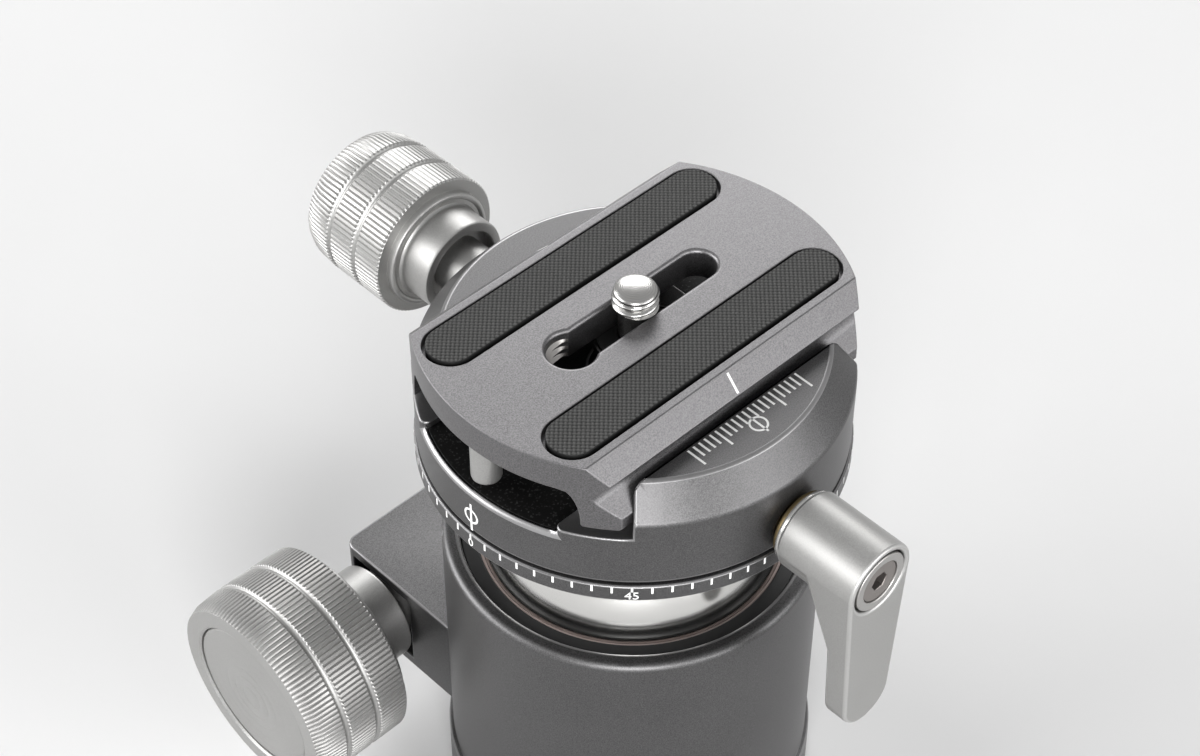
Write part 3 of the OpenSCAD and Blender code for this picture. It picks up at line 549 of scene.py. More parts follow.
silver = satin("satin_silver_finish", (0.400, 0.397, 0.389), 0.42)
knob_low, knob_high = span("main_knob")
bolt_low, bolt_high = span("pinch_bolt")
main_axis_y = (knob_low.y + knob_high.y) / 2
main_axis_z = (knob_low.z + knob_high.z) / 2
main_len = 17.0
main_face_x = knob_low.x + main_len
main_boss_r = 8.0
main_boss_len = 8.2
main_nose_r = 5.5
main_nose_len = knob_high.x - main_face_x - main_boss_len
main_r = (knob_high.z - knob_low.z) / 2
main_cap_r = main_r - 4
main_ridges = 128
disc_play = 0.1
piece(
    "main_lock_knob",
    banded_knob(main_r, main_len, main_boss_r, main_boss_len, main_nose_r, main_nose_len, main_cap_r,
                main_ridges, (main_face_x, main_axis_y, main_axis_z), (-1, 0, 0)),
    "lock_knob", "satin_silver", silver, "main_knob",
)
main_disc_at = (knob_low.x + disc_seat, main_axis_y, main_axis_z)
piece("main_knob_disc", domed_disc(main_cap_r - disc_play, main_disc_at, (-1, 0, 0)),
      "lock_knob", "satin_silver", silver, "main_knob_cap")


def threaded_bar(length, radius, pitch, threaded, at, along):
    """Round bar whose last stretch is a screw thread: a V section swept up a helix."""
    steps = 48
    root = radius - 0.6 * pitch
    shank_r = radius - 0.1
    tip_len = 0.4
    turns = int(threaded / pitch) + 2
    bm = bmesh.new()
    start = length - threaded - pitch
    section = [(root, 0), (radius, 0.36), (radius, 0.5), (root, 0.86), (root, 1)]
    geom = outline(bm, [(out, start + share * pitch) for out, share in section])
    sweep_thread(bm, geom, pitch, turns, steps)
    cut_off(bm, length - threaded, -1)
    cut_off(bm, length - tip_len, 1)
    shank = end_ring(bm, length - threaded)
    shank = pull_ring(bm, shank, 0, shank_r)
    shank = pull_ring(bm, shank, -(length - threaded), shank_r)
    bmesh.ops.contextual_create(bm, geom=shank)
    tip = end_ring(bm, length - tip_len)
    tip = pull_ring(bm, tip, tip_len, root - 0.25)
    bmesh.ops.contextual_create(bm, geom=tip)
    turn_to(bm, at, along)
    return bm


def sweep_thread(bm, geom, pitch, turns, steps):
    """Sweeps a thread's section up a helix, with a number of steps in each turn."""
    bmesh.ops.spin(
        bm, geom=geom, cent=(0, 0, 0), axis=(0, 0, 1), dvec=(0, 0, pitch / steps),
        angle=2 * math.pi * turns, steps=steps * turns, use_duplicate=False,
    )
    bmesh.ops.remove_doubles(bm, verts=bm.verts, dist=0.002)


def cut_off(bm, height, side):
    """Takes away all that lies above a height, or below it where the side is -1."""
    bmesh.ops.bisect_plane(
        bm, geom=bm.verts[:] + bm.edges[:] + bm.faces[:], plane_co=(0, 0, height),
        plane_no=(0, 0, side), clear_outer=True, dist=0.0005,
    )


def end_ring(bm, height):
    """Open edges that lie at one height."""
    return [
        edge for edge in bm.edges
        if edge.is_boundary and all(abs(vert.co.z - height) < 0.003 for vert in edge.verts)
    ]


def pull_ring(bm, ring, rise, radius):
    """Draws a ring of edges along Z and brings it to a round of the given radius."""
    made = bmesh.ops.extrude_edge_only(bm, edges=ring)["geom"]
    edges = [item for item in made if isinstance(item, bmesh.types.BMEdge) and item.is_boundary]
    for vert in {vert for edge in edges for vert in edge.verts}:
        vert.co.xy *= radius / math.hypot(vert.co.x, vert.co.y)
        vert.co.z += rise
    return edges


metric_r = 3.0
metric_pitch = 1.0
pinch_thread = 22.0
piece(
    "pinch_bolt_bar",
    threaded_bar(bolt_high.x - bolt_low.x, metric_r, metric_pitch, pinch_thread,
                 (bolt_low.x, main_axis_y, main_axis_z), (1, 0, 0)),
    "lock_knob", "bright_steel", bright_steel, "pinch_bolt",
)


# Ball: turned from solid aluminium with its neck, polished bright and anodised clear.
# A centre bolt of dark steel joins its neck to the degree ring above.
def polished(name, colour, rough):
    """Polished metal with faint lathe marks and smears."""
    finish = Finish(name, Metallic=1.0)
    smear = finish.noise(7.0, 4.0)
    fine = finish.noise(0.3, 2.0)
    finish.feed(
        Base_Color=finish.blend(smear, tuple(c * 0.94 for c in colour), colour),
        Roughness=rough + smear * 0.08 + (fine - 0.5) * 0.03,
        Normal=finish.bump(smear, 0.004, 0.3),
    )
    return finish


mirror_bright = polished("polished_ball_finish", (0.62, 0.615, 0.60), 0.12)
neck_r = 13.0
neck_top = ball_high.z - ball_z
meet = math.sqrt(ball_r ** 2 - neck_r ** 2)
bore_r = 4.0
bore_end = 2.0
arc_steps = 64
arc = math.atan2(meet, neck_r) + math.pi / 2
ball_profile = [(0, -ball_r)]
for step in range(1, arc_steps):
    lean = arc * step / arc_steps - math.pi / 2
    ball_profile += [(ball_r * math.cos(lean), ball_r * math.sin(lean))]
ball_profile += [(neck_r + 0.25, meet - 0.18), (neck_r, meet + 0.35), (neck_r, neck_top)]
ball_profile += [(bore_r, neck_top), (bore_r, bore_end), (0, bore_end)]
piece("polished_ball", turned(ball_profile, (0, 0, ball_z), (0, 0, 1), 160), "neck",
      "polished_ball", mirror_bright, "ball")
milled("neck_centre_bolt", "centre_bolt", 0.2, "neck", "dark_steel", dark_steel)


# Degree ring: a turned flange with the spindle that the clamp turns on, anodised grey.
# Ticks every five degrees and numbers every 45 are engraved in its wall and filled white.
mark_t = 0.05


def text_mesh(words, height):
    """Numbers as a flat mesh on XY, centred, with the given height in millimetres."""
    digit_share = 0.72
    curve = bpy.data.curves.new("numbers", "FONT")
    curve.body = words
    curve.align_x = "CENTER"
    curve.align_y = "CENTER"
    curve.size = height / digit_share
    curve.resolution_u = 3
    curve.extrude = mark_t / 2
    holder = bpy.data.objects.new("numbers", curve)
    bpy.context.scene.collection.objects.link(holder)
    bpy.context.view_layer.update()
    flat = bpy.data.meshes.new_from_object(holder)
    bpy.data.objects.remove(holder)
    bpy.data.curves.remove(curve)
    return flat


def bar_mark(bm, width, low, high):
    """Thin upright bar on XY from y = low to high; its front face is at z = 0."""
    made = bmesh.ops.create_cube(bm, size=1)["verts"]
    bmesh.ops.scale(bm, vec=(width, high - low, mark_t), verts=made)
    bmesh.ops.translate(bm, vec=(0, (low + high) / 2, -mark_t / 2), verts=made)
    return made


def ring_mark(bm, radius, width, at_y):
    """Thin round line on XY about (0, at_y)."""
    steps = 40
    inner = radius - width / 2
    outer = radius + width / 2
    corners = ((inner, 0), (outer, 0), (outer, -mark_t), (inner, -mark_t))
    section = [bm.verts.new((out, 0, height)) for out, height in corners]
    edges = [bm.edges.new((section[i - 1], section[i])) for i in range(4)]
    before = set(bm.verts) - set(section)
    spin_round(bm, section + edges, steps)
    made = [vert for vert in bm.verts if vert not in before]
    bmesh.ops.translate(bm, vec=(0, at_y, 0), verts=made)
    return made


def wrap(verts, radius, azimuth):
    """Bends a flat mark round an upright cylinder: x runs round it, y up it, z out of it."""
    for vert in verts:
        angle = azimuth + vert.co.x / radius
        out = radius + vert.co.z
        vert.co = Vector((out * math.cos(angle), out * math.sin(angle), vert.co.y))


def painted(name, colour):
    """Paint in an engraved line: almost flat, with a slightly uneven surface."""
    finish = Finish(name, Metallic=0.0)
    grain = finish.noise(0.15, 2.0)
    finish.feed(
        Base_Color=finish.blend(grain, tuple(c * 0.9 for c in colour), colour),
        Roughness=0.5 + (grain - 0.5) * 0.2,
    )
    return finish


white_paint = painted("white_fill", (0.93, 0.93, 0.92))
ring_low, ring_high = span("scale_ring")
ring_r = ring_high.x
ring_t = 3.1
milled("degree_ring", "scale_ring", 0.1, "neck", "anodised_grey", grey)
marks = bmesh.new()
proud = 0.015
tick_w = 0.3
tick_cut = 0.4
tick_top = ring_low.z + ring_t - 0.2
tick_low = tick_top - 1.15
digit_h = 1.45
digit_lift = 0.28
for step in range(72):
    foot = tick_low + (tick_cut if step % 9 == 0 else 0)
    bar = bar_mark(marks, tick_w, foot, tick_top)
    wrap(bar, ring_r + proud, math.radians(180 + 5 * step))
for step in range(8):
    flat = text_mesh(str(45 * step), digit_h)
    before = set(marks.verts)
    marks.from_mesh(flat)
    bpy.data.meshes.remove(flat)
    digits = [vert for vert in marks.verts if vert not in before]
    bmesh.ops.translate(marks, vec=(0, tick_low - digit_h / 2 + digit_lift, -mark_t / 2), verts=digits)
    wrap(digits, ring_r + proud, math.radians(180 + 45 * step))
piece("degree_marks", marks, "neck", "bearing_polymer", white_paint)


# Pan bearing and spindle cap: a white polymer washer between ring and clamp,
# and an aluminium disc screwed on the spindle's end that keeps the clamp down.
bearing_white = moulded("bearing_polymer_finish", (0.70, 0.70, 0.68), (0.82, 0.82, 0.80), 0.45, 0.4, 0.004)
milled("pan_bearing_washer", "pan_bearing", 0.1, "neck", "bearing_polymer", bearing_white)
milled("spindle_end_disc", "spindle_cap", 0.2, "neck", "anodised_grey", grey)


# Clamp body: milled from one aluminium round, with the fixed jaw on the lever's side.
# Blasted and anodised grey, with small rounds on the jaw's rims and a full one on the lip before each inlay.
# The grey is painted paler there: partly wear, partly painted highlight. The wing floors are painted paler
# as painted light under the plate's shadow.
clamp_low, clamp_high = span("clamp_body")
clamp_r = clamp_high.x
jaw_top = clamp_high.z
lip_reach = 19.05


def jaw_form(side):
    """Cuts a jaw's lip back so that the plate's foot shows beside it, and softens its rims. It paints the
    rims and the lip paler (partly wear, partly painted highlight) and the wing floors paler as painted light
    where the plate shades them.
    """
    nose_floor = jaw_top - 3.5
    inner = 15
    wing_z = jaw_top - 7.2
    band_z = jaw_top - 4.6
    rim_round, rim_rub_and_highlight = 0.4, 1.2
    lip_wide, lip_fall, lip_rub_and_highlight = 1.2, 1.9, 1.8
    wing_painted_light = 1.0

    def rework(bm):
        nose = [
            vert for vert in bm.verts
            if inner < vert.co.y * side < lip_reach and vert.co.z > nose_floor
        ]
        faces = {face for vert in nose for face in vert.link_faces}
        geom = list(faces)
        geom += list({edge for face in faces for edge in face.edges})
        geom += list({vert for face in faces for vert in face.verts})
        bmesh.ops.bisect_plane(
            bm, geom=geom, plane_co=(0, side * lip_reach, 0), plane_no=(0, side, 0), dist=0.0005,
        )
        spare = [
            face for face in bm.faces
            if inner < face.calc_center_median().y * side < lip_reach - 0.01
            and all(vert.co.z > nose_floor for vert in face.verts)
        ]
        bmesh.ops.delete(bm, geom=spare, context="FACES")
        bmesh.ops.contextual_create(bm, geom=[edge for edge in bm.edges if edge.is_boundary])
        break_edges(bm, rim_round, on_rim, segments=4, rubbed_and_lit=rim_rub_and_highlight)
        wear_and_highlight = bm.faces.layers.float["wear_and_highlight"]
        for face in bm.faces:
            middle = face.calc_center_median()
            at_edge = middle.xy.length > clamp_r - lip_wide and face.normal.z > 0.1
            # Lip faces painted paler: partly wear, partly painted highlight.
            if at_edge and wing_z - lip_fall < middle.z < wing_z - 0.1:
                face[wear_and_highlight] = lip_rub_and_highlight
            # Wing floors painted paler: painted light that lifts the plate's shadow.
            elif abs(middle.z - wing_z) < 0.1 and face.normal.z > 0.97:
                face[wear_and_highlight] = wing_painted_light
            elif abs(middle.z - band_z) < 0.6:
                face[wear_and_highlight] = 0

    def on_rim(edge):
        first, second = (vert.co for vert in edge.verts)
        outer = min(first.y * side, second.y * side) > inner + 2
        return outer and max(first.z, second.z) > band_z - 0.1 and min(first.z, second.z) > wing_z + 0.5

    return rework


clamp_edge = 0.28
milled("clamp_base", "clamp_body", clamp_edge, "clamp", "anodised_grey", grey, jaw_form(-1))


# Jaw scale and index marks: white paint in fine engraved lines on the fixed jaw and the clamp's wall.
# The jaw's scale has a tick each millimetre, long ones at each five and a circled line in the middle.
scale_marks = bmesh.new()
scale_start = 19.7
one_len, five_len, middle_len = 2.07, 3.2, 4.75
scale_w, scale_ring_w = 0.32, 0.3
for tick in range(-10, 11):
    reach = five_len if tick % 5 == 0 else one_len
    reach = middle_len if tick == 0 else reach
    bar = bar_mark(scale_marks, scale_w, -scale_start - reach, -scale_start)
    bmesh.ops.translate(scale_marks, vec=(tick, 0, jaw_top + proud), verts=bar)
circle = ring_mark(scale_marks, 1.2, scale_ring_w, -scale_start - 3.0)
bmesh.ops.translate(scale_marks, vec=(0, 0, jaw_top + proud), verts=circle)
stroke_low = clamp_low.z + 0.3
stroke_len = 5.1
stroke_w, stroke_ring_w = 0.34, 0.32
stroke = bar_mark(scale_marks, stroke_w, stroke_low, stroke_low + stroke_len)
wrap(stroke, clamp_r + proud, math.radians(180))
circle = ring_mark(scale_marks, 1.15, stroke_ring_w, stroke_low + 2.8)
wrap(circle, clamp_r + proud, math.radians(180))
piece("clamp_index_marks", scale_marks, "clamp", "bearing_polymer", white_paint)


# Inlay plates: thin black plates glued in both ends of the clamp's channel.
# Painted matt black, with a fine sparkle in the paint.
def sparkling(name):
    """Matt black paint with scattered bright flakes."""
    finish = Finish(name, Metallic=0.0, Specular_IOR_Level=0.15)
    flakes = finish.node(
        "ShaderNodeTexVoronoi", {"feature": "F1"},
        {"Vector": finish.place, "Scale": 1000 / 0.22, "Randomness": 1.0}, out="Color",
    )
    level = finish.node("ShaderNodeSeparateColor", {}, {"Color": flakes}, out="Red")
    bright = finish.node(
        "ShaderNodeMapRange", {"clamp": True},
        {"Value": level, "From Min": 0.86, "From Max": 1.0, "To Min": 0.0, "To Max": 1.0},
    )
    grain = finish.noise(0.12, 2.0)
    finish.feed(
        Base_Color=finish.blend(bright * 0.5, (0.002, 0.002, 0.002), (0.06, 0.06, 0.06)),
        Roughness=0.62 - bright * 0.2,
        Normal=finish.bump(grain, 0.006, 0.6),
    )
    return finish


inlay_black = sparkling("black_inlay_finish")
milled("channel_inlays", "inlay_plates", 0.1, "clamp", "black_inlay", inlay_black)


# Guide pins and jaw springs: two ground steel pins keep the sliding jaw square,
# and a coil spring on each pushes it open when the knob is slackened.
milled("jaw_guide_pins", "guide_pins", 0.25, "clamp", "bright_steel", bright_steel)
spring_low, spring_high = span("jaw_springs")
wire_r = 0.3
coil_r = (spring_high.z - spring_low.z) / 2 - wire_r
coil_turns = 4
coil_steps = 28
springs = bmesh.new()
for side in (-1, 1):
    pin_x = side * ((spring_high.x - spring_low.x) / 2 - coil_r - wire_r)
    middle_z = (spring_low.z + spring_high.z) / 2
    wire = bmesh.ops.create_circle(springs, cap_ends=True, segments=10, radius=wire_r)["verts"]
    bmesh.ops.translate(springs, vec=(pin_x + coil_r, spring_low.y + wire_r, middle_z), verts=wire)
    geom = list(wire)
    geom += list({edge for vert in wire for edge in vert.link_edges})
    geom += list({face for vert in wire for face in vert.link_faces})
    rise = (spring_high.y - spring_low.y - 2 * wire_r) / (coil_turns * coil_steps)
    bmesh.ops.spin(
        springs, geom=geom, cent=(pin_x, spring_low.y, middle_z), axis=(0, 1, 0), dvec=(0, rise, 0),
        angle=2 * math.pi * coil_turns, steps=coil_turns * coil_steps, use_duplicate=False,
    )
coils = piece("jaw_coil_springs", springs, None, "bright_steel", bright_steel, "jaw_springs")
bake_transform(coils, "clamp", "jaw", start=(0, spring_low.y / 1000, middle_z / 1000),
         end=(0, spring_high.y / 1000, middle_z / 1000))


# Brake shoe: a small brass plug that the lever's screw presses on the pan spindle.
# It slides in the cross hole through the clamp's wall, out of sight.
milled("pan_brake_shoe", "brake_shoe", 0.2, "clamp", "brass", brass)


# Sliding jaw: the clamp's other side, milled and finished as the clamp body is.
# The knob's screw draws it in on the two guide pins; a black washer lies in its spot face.
milled("sliding_jaw", "moving_jaw", clamp_edge, "jaw", "anodised_grey", grey, jaw_form(1))
milled("knob_thrust_washer", "knob_washer", 0.12, "jaw", "black_plastic", black_plastic)


# Clamp knob: turned from aluminium and knurled as the main knob is, with a recess in its boss.
# Its steel screw runs through the sliding jaw into the clamp body.
knob_low, knob_high = span("clamp_knob")
screw_low, screw_high = span("clamp_screw")
knob_axis_z = (knob_low.z + knob_high.z) / 2
clamp_knob_len = 16.3
knob_face_y = knob_high.y - clamp_knob_len
knob_boss_r = 7.3
knob_boss_len = 6.4
knob_nose_r = 4.3
knob_nose_len = knob_face_y - knob_boss_len - knob_low.y
knob_r = (knob_high.z - knob_low.z) / 2
knob_cap_r = knob_r - 3
knob_ridges = 92
knob_thread = 9.0
piece(
    "clamp_lock_knob",
    banded_knob(knob_r, clamp_knob_len, knob_boss_r, knob_boss_len, knob_nose_r, knob_nose_len, knob_cap_r,
                knob_ridges, (0, knob_face_y, knob_axis_z), (0, 1, 0), recess=knob_boss_len / 4),
    "jaw_knob", "satin_silver", silver, "clamp_knob",
)
knob_disc_at = (0, knob_high.y - disc_seat, knob_axis_z)
piece("clamp_knob_disc", domed_disc(knob_cap_r - disc_play, knob_disc_at, (0, 1, 0)),
      "jaw_knob", "satin_silver", silver, "clamp_knob_cap")
piece(
    "clamp_screw_bar",
    threaded_bar(screw_high.y - screw_low.y, metric_r, metric_pitch, knob_thread,
                 (0, screw_high.y, knob_axis_z), (0, -1, 0)),
    "jaw_knob", "bright_steel", bright_steel, "clamp_screw",
)


# Pan lever: an aluminium lever in satin silver, with a round barrel and an arm that thins to its tip.
# A bright sleeve and a dark socket screw hold it; a brass washer and a steel shim lie at its root.
sleeve_steel = turned_metal("lever_sleeve_finish", (0.46, 0.452, 0.44), 0.36)
screw_steel = turned_metal("lever_screw_finish", (0.27, 0.248, 0.236), 0.42)
milled("pan_lock_lever", "pan_lever", 0.45, "lever", "satin_silver", silver)
milled("lever_bright_sleeve", "lever_sleeve", 0.2, "lever", "bright_steel", sleeve_steel)
milled("brake_socket_screw", "brake_screw", 0.18, "lever", "dark_steel", screw_steel)
milled("lever_brass_washer", "lever_washer", 0.15, "clamp", "brass", brass)
milled("lever_steel_shim", "lever_shim", 0.1, "lever", "bright_steel", bright_steel)


# Quick-release plate: an aluminium dovetail plate with round ends, blasted and anodised a paler grey.
# The camera screw slides in its long slot, and is put in through the tapped hole at one end.
plate_top = span("qr_plate")[1].z
plate_edge = 0.16
# Level of the paler edge paint on the plate: partly wear, partly painted highlight.
plate_rub_and_highlight = 0.3
plate_grey = blasted("plate_grey_finish", (0.148, 0.145, 0.1485), 0.42, 0.2, 0.19)


def plate_form(bm):
    """Rounds the slot's upper edge more than the others, and marks it for paler paint: partly wear, partly
    painted highlight.
    """
    slot_round = 0.6
    slot_x, slot_y = 18, 4

    def at_slot(edge):
        return all(
            abs(vert.co.z - plate_top) < 0.01 and abs(vert.co.x) < slot_x and abs(vert.co.y) < slot_y
            for vert in edge.verts
        )

    break_edges(bm, slot_round, at_slot, turn=60, segments=4, rubbed_and_lit=plate_rub_and_highlight)


milled("dovetail_plate", "qr_plate", plate_edge, "plate", "plate_grey", plate_grey, plate_form, plate_rub_and_highlight)
slab_t = 4.8
entry_x = -11.65
entry_r = 3.4
camera_pitch = 25.4 / 20
entry_start = 54
entry_sweep = 252
bare_alloy = turned_metal("tapped_bare_alloy", (0.46, 0.445, 0.43), 0.36)
piece(
    "entry_thread_ridges",
    tapped(entry_r, slab_t, camera_pitch, (entry_x, 0, plate_top - slab_t), (0, 0, 1), start=entry_start,
           sweep=entry_sweep),
    "plate", "satin_silver", bare_alloy,
)
index_marks = bmesh.new()
index_w = 0.36
flare_drop = 2.85
flare_out = 2.6
top_half = 16.5
slope = math.hypot(flare_drop, flare_out)
lean = Matrix.Rotation(math.atan2(flare_drop, flare_out), 4, "X")
on_flare = Matrix.Translation((0, -top_half, plate_top)) @ lean
for half_turn in (0, math.pi):
    bar = bar_mark(index_marks, index_w, -slope + 0.3, -0.5)
    bmesh.ops.translate(index_marks, vec=(0, 0, proud), verts=bar)
    bmesh.ops.transform(index_marks, matrix=on_flare, verts=bar)
    bmesh.ops.rotate(index_marks, verts=bar, cent=(0, 0, 0), matrix=Matrix.Rotation(half_turn, 3, "Z"))
piece("plate_index_marks", index_marks, "plate", "bearing_polymer", white_paint)


# Grip strips: two black rubber strips with a fine woven face, glued in pockets in the plate's top.
# They stand a little proud so that the camera rests on them.
cord = 0.8
cord_lift = 0.2
strip_play = 0.22


def weave(x, y):
    """Height of a plain weave of cords laid at 45 degrees, from 0 to 1."""
    u = (x + y) / cord
    v = (x - y) / cord
    over = math.sin(math.pi * v) * (-1) ** math.floor(u)
    under = -math.sin(math.pi * u) * (-1) ** math.floor(v)
    first = abs(math.sin(math.pi * u)) * (0.5 + 0.5 * over)
    second = abs(math.sin(math.pi * v)) * (0.5 + 0.5 * under)
    return max(first, second)


def woven_strip(node):
    """Strip with round ends: a fine grid lifted into the weave, its rim drawn down to its foot."""
    low, high = span(node)
    middle = (low + high) / 2
    half_len = (high.x - low.x) / 2 - strip_play
    half_wide = (high.y - low.y) / 2 - strip_play
    cell = 0.11
    soft = 0.16
    bm = bmesh.new()
    bmesh.ops.create_grid(
        bm, x_segments=round(2 * half_len / cell), y_segments=round(2 * half_wide / cell), size=1,
        matrix=Matrix.Diagonal((half_len + cell, half_wide + cell, 1, 1)),
    )

    def from_core(co):
        core = Vector((max(-half_len + half_wide, min(half_len - half_wide, co.x)), 0))
        return core, co.xy - core

    outside = {vert for vert in bm.verts if from_core(vert.co)[1].length > half_wide}
    spare = [face for face in bm.faces if all(vert in outside for vert in face.verts)]
    bmesh.ops.delete(bm, geom=spare, context="FACES")
    for vert in bm.verts:
        core, away = from_core(vert.co)
        if away.length > half_wide:
            vert.co.xy = core + away * (half_wide / away.length)
        inside = max(0.0, half_wide - away.length)
        fall = soft - math.sqrt(max(0.0, soft ** 2 - max(0.0, soft - inside) ** 2))
        vert.co.z = high.z - cord_lift * (1 - weave(vert.co.x, vert.co.y)) - fall
    rim = [edge for edge in bm.edges if edge.is_boundary]
    made = bmesh.ops.extrude_edge_only(bm, edges=rim)["geom"]
    foot = [item for item in made if isinstance(item, bmesh.types.BMEdge) and item.is_boundary]
    for vert in {vert for edge in foot for vert in edge.verts}:
        vert.co.z = low.z
    bmesh.ops.contextual_create(bm, geom=foot)
    bmesh.ops.translate(bm, vec=(middle.x, middle.y, 0), verts=bm.verts)
    return bm


def woven_rubber(name, top_z):
    """Black rubber: tops of the weave grey, hollows and sides painted almost black as painted shade."""
    finish = Finish(name, Specular_IOR_Level=0.3)
    height = finish.node("ShaderNodeSeparateXYZ", {}, {"Vector": finish.place}, out="Z")
    top = (height * 1000 - (top_z - cord_lift)) / cord_lift
    grain = finish.noise(0.25, 3.0)
    cloud = finish.noise(4.0, 2.0)
    # Colour by height: the hollows and the strip's sides get painted shade, and the tops stay grey.
    pale = top * 1.1 - 0.1 + (grain - 0.5) * 0.5
    finish.feed(
        Base_Color=finish.blend(pale, (0.002, 0.002, 0.002), (0.08, 0.08, 0.078)),
        Roughness=0.6 + (cloud - 0.5) * 0.15,
        Normal=finish.bump(grain, 0.02, 0.5),
    )
    return finish


strip_black = woven_rubber("grip_strip_rubber", span("front_grip")[1].z)
piece("front_grip_strip", woven_strip("front_grip"), "plate", "rubber", strip_black, "front_grip")
piece("rear_grip_strip", woven_strip("rear_grip"), "plate", "rubber", strip_black, "rear_grip")


# Stop pins: two satin steel pins pressed into the plate's underside near its ends.
# They meet the clamp's pad and keep the plate from sliding out.
milled("plate_stop_pins", "stop_pins", 0.15, "plate", "satin_silver", silver)


# Camera screw: a captive steel screw with a coin-slotted head below the plate and a thin waist.
# Its threaded end stands above the plate, and a black washer slides with it under the slab.
milled("screw_slide_washer", "screw_washer", 0.1, "slider", "black_plastic", black_plastic)
screw_top = span("camera_screw")[1].z
crest = 3.175
root = crest - 0.55 * camera_pitch
thread_low = plate_top + 0.03
dome_r = crest - 0.2
shoulder = 0.3
shoulder_run = 0.08
dome_rise = 0.935
turning_mark = 0.007
thread_high = screw_top - shoulder - dome_rise - turning_mark
waist_r = 2.3
waist_rise = 0.4
screw = machined("camera_screw", 0.2)
cut_off(screw, plate_top, 1)
waist = end_ring(screw, plate_top)
waist = pull_ring(screw, waist, waist_rise, waist_r)
bmesh.ops.contextual_create(screw, geom=waist)
helix = bmesh.new()
helix_start = Matrix.Rotation(math.radians(150), 3, "Z")
helix_turns = 6
helix_steps = 72
section = [(root, 0), (root + 0.2, 0.1), (crest - 0.14, 0.29), (crest - 0.03, 0.38), (crest, 0.47)]
section += [(crest - 0.03, 0.56), (crest - 0.14, 0.65), (root + 0.2, 0.84), (root, 0.94), (root, 1)]
geom = outline(helix, [(out, thread_low + (share - 2) * camera_pitch) for out, share in section])
bmesh.ops.rotate(helix, verts=helix.verts, cent=(0, 0, 0), matrix=helix_start)
sweep_thread(helix, geom, camera_pitch, helix_turns, helix_steps)
cut_off(helix, thread_low, -1)
cut_off(helix, thread_high, 1)
bmesh.ops.contextual_create(helix, geom=end_ring(helix, thread_low))
dome = end_ring(helix, thread_high)
dome = pull_ring(helix, dome, shoulder_run, dome_r)
dome = pull_ring(helix, dome, shoulder - shoulder_run, dome_r)
dome_rings = 60
level_before = 0
for step in range(1, dome_rings):
    lean = math.pi / 2 * step / dome_rings
    level = dome_rise * math.sin(lean) + turning_mark * math.sin(math.pi / 2 * step)
    dome = pull_ring(helix, dome, level - level_before, dome_r * math.cos(lean))
    level_before = level
bmesh.ops.contextual_create(helix, geom=dome)
take_in(screw, helix)


def lathe_turned(name, colour, rough, mark_mm):
    """Bright steel with fine turning marks in rings about the upright axis."""
    finish = Finish(name, Metallic=1.0)
    flat = finish.node(
        "ShaderNodeVectorMath", {"operation": "MULTIPLY"},
        {0: finish.place, 1: (1000, 1000, 0)}, out="Vector",
    )
    out = finish.node("ShaderNodeVectorMath", {"operation": "LENGTH"}, {0: flat}, out="Value")
    wave = out * (2 * math.pi / mark_mm) + finish.noise(0.8, 2.0) * 3
    rings = finish.node("ShaderNodeMath", {"operation": "SINE"}, {0: wave})
    smear = finish.noise(3.0, 3.0)
    finish.feed(
        Base_Color=finish.blend(smear * 0.6 + rings * 0.3 + 0.2, tuple(c * 0.8 for c in colour), colour),
        Roughness=rough + smear * 0.08,
        Normal=finish.bump(smear, 0.004, 0.5),
    )
    return finish


screw_bright = lathe_turned("camera_screw_finish", (0.44, 0.435, 0.425), 0.22, 0.31)
piece("captive_camera_screw", screw, "screw", "bright_steel", screw_bright, "camera_screw")


# Studio: a pale matt floor under the head, and six soft lamps all round it.
# The camera stands where the photo was taken; what it sees past the floor is pale too.
def seen_ray(tree):
    """1 for what the camera sees, straight or in a reflection or through glass, else 0."""
    ray = tree.nodes.new("ShaderNodeLightPath")
    seen = Field(tree, ray.outputs["Is Camera Ray"])
    for name in ("Is Glossy Ray", "Is Transmission Ray"):
        seen = seen.math("MAXIMUM", seen, Field(tree, ray.outputs[name]))
    return seen


world = bpy.data.worlds.new("studio")
bpy.context.scene.world = world
world.use_nodes = True
surround = world.node_tree.nodes["Background"]
world.node_tree.links.new((seen_ray(world.node_tree) * 0.57 + 0.03).socket, surround.inputs["Strength"])
surround.inputs["Color"].default_value = (1, 1, 1, 1)


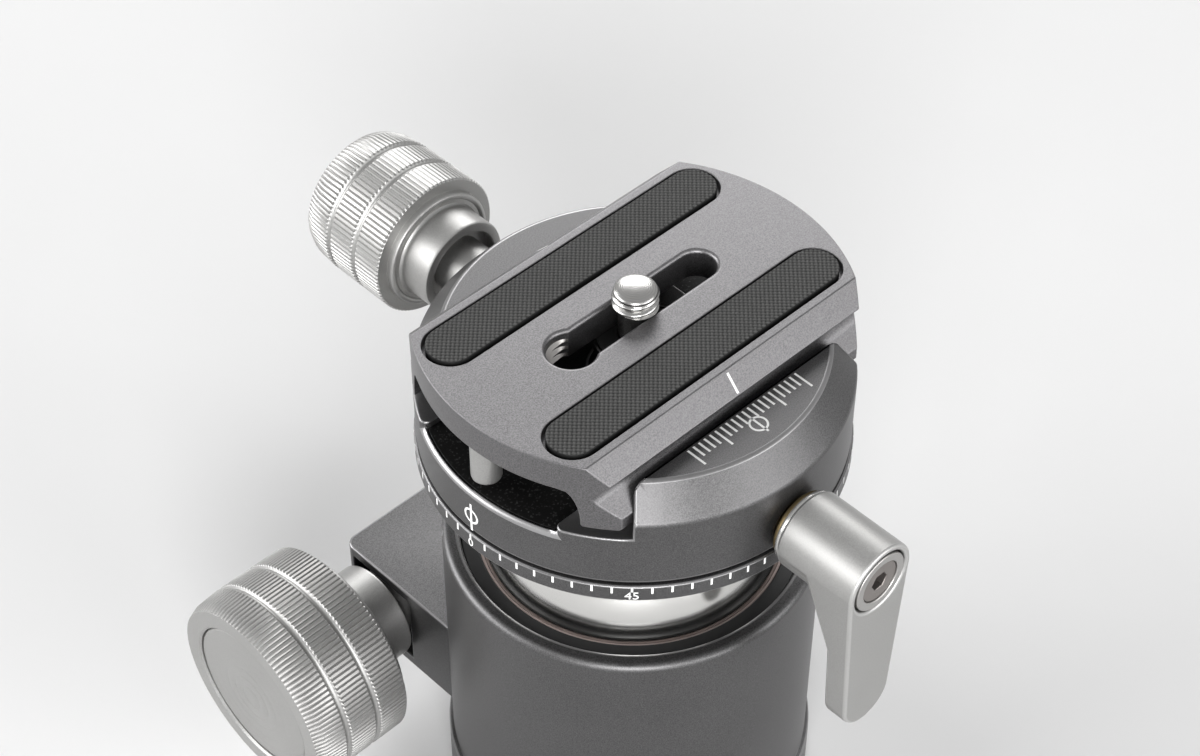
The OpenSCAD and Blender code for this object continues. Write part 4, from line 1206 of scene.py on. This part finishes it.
def soft_box(name, azimuth, height, power):
    """Square soft lamp that faces the head from a direction in degrees."""
    side = 1.66
    away = 3.0
    middle = Vector((0, 0, 0.075))
    round_by = math.radians(azimuth)
    up_by = math.radians(height)
    flat = math.cos(up_by)
    towards = Vector((flat * math.cos(round_by), flat * math.sin(round_by), math.sin(up_by)))
    lamp = bpy.data.lights.new(name, "AREA")
    lamp.shape = "SQUARE"
    lamp.size = side
    lamp.energy = power
    holder = bpy.data.objects.new(name, lamp)
    bpy.context.scene.collection.objects.link(holder)
    holder.location = middle + away * towards
    holder.rotation_euler = towards.to_track_quat("Z", "Y").to_euler()


soft_box("back_lamp", 46, 27, 52)
soft_box("left_back_lamp", 120, 18, 62)
soft_box("left_lamp", 150, 22, 41)
soft_box("camera_side_lamp", 226, 20, 98)
soft_box("front_lamp", 275, 12, 37)
soft_box("right_lamp", 300, 18, 28)

floor_mesh = bpy.data.meshes.new("floor")
floor_bm = bmesh.new()
bmesh.ops.create_grid(floor_bm, x_segments=4, y_segments=4, size=4)
floor_bm.to_mesh(floor_mesh)
floor_bm.free()
floor = bpy.data.objects.new("floor", floor_mesh)
bpy.context.scene.collection.objects.link(floor)
floor.location.z = -0.0005
pale = Finish("pale_floor", Roughness=0.9)
pale.feed(Base_Color=pale.blend(pale.noise(40, 2.0), (0.76, 0.76, 0.76), (0.78, 0.78, 0.78)))
floor_mesh.materials.append(pale.material)

yaw = math.radians(225.802)
pitch = math.radians(45.375)
roll = math.radians(0.129)
distance = 333.52
offset_right = 4.663
offset_up = 9.530
back = Vector((math.cos(pitch) * math.cos(yaw), math.cos(pitch) * math.sin(yaw), math.sin(pitch)))
level_right = Vector((-math.sin(yaw), math.cos(yaw), 0))
level_up = back.cross(level_right)
right = math.cos(roll) * level_right + math.sin(roll) * level_up
up = -math.sin(roll) * level_right + math.cos(roll) * level_up
seat = Vector((0, 0, plate_top)) + distance * back - offset_right * right - offset_up * up
lens = bpy.data.cameras.new("photo_camera")
lens.sensor_fit = "HORIZONTAL"
lens.sensor_width = 36
lens.lens = 75.876
lens.clip_start = 0.01
camera = bpy.data.objects.new("photo_camera", lens)
bpy.context.scene.collection.objects.link(camera)
turn = Matrix((right, up, back)).transposed().to_4x4()
camera.matrix_world = Matrix.Translation(seat / 1000) @ turn
bpy.context.scene.camera = camera
bpy.context.scene.view_settings.view_transform = "Standard"
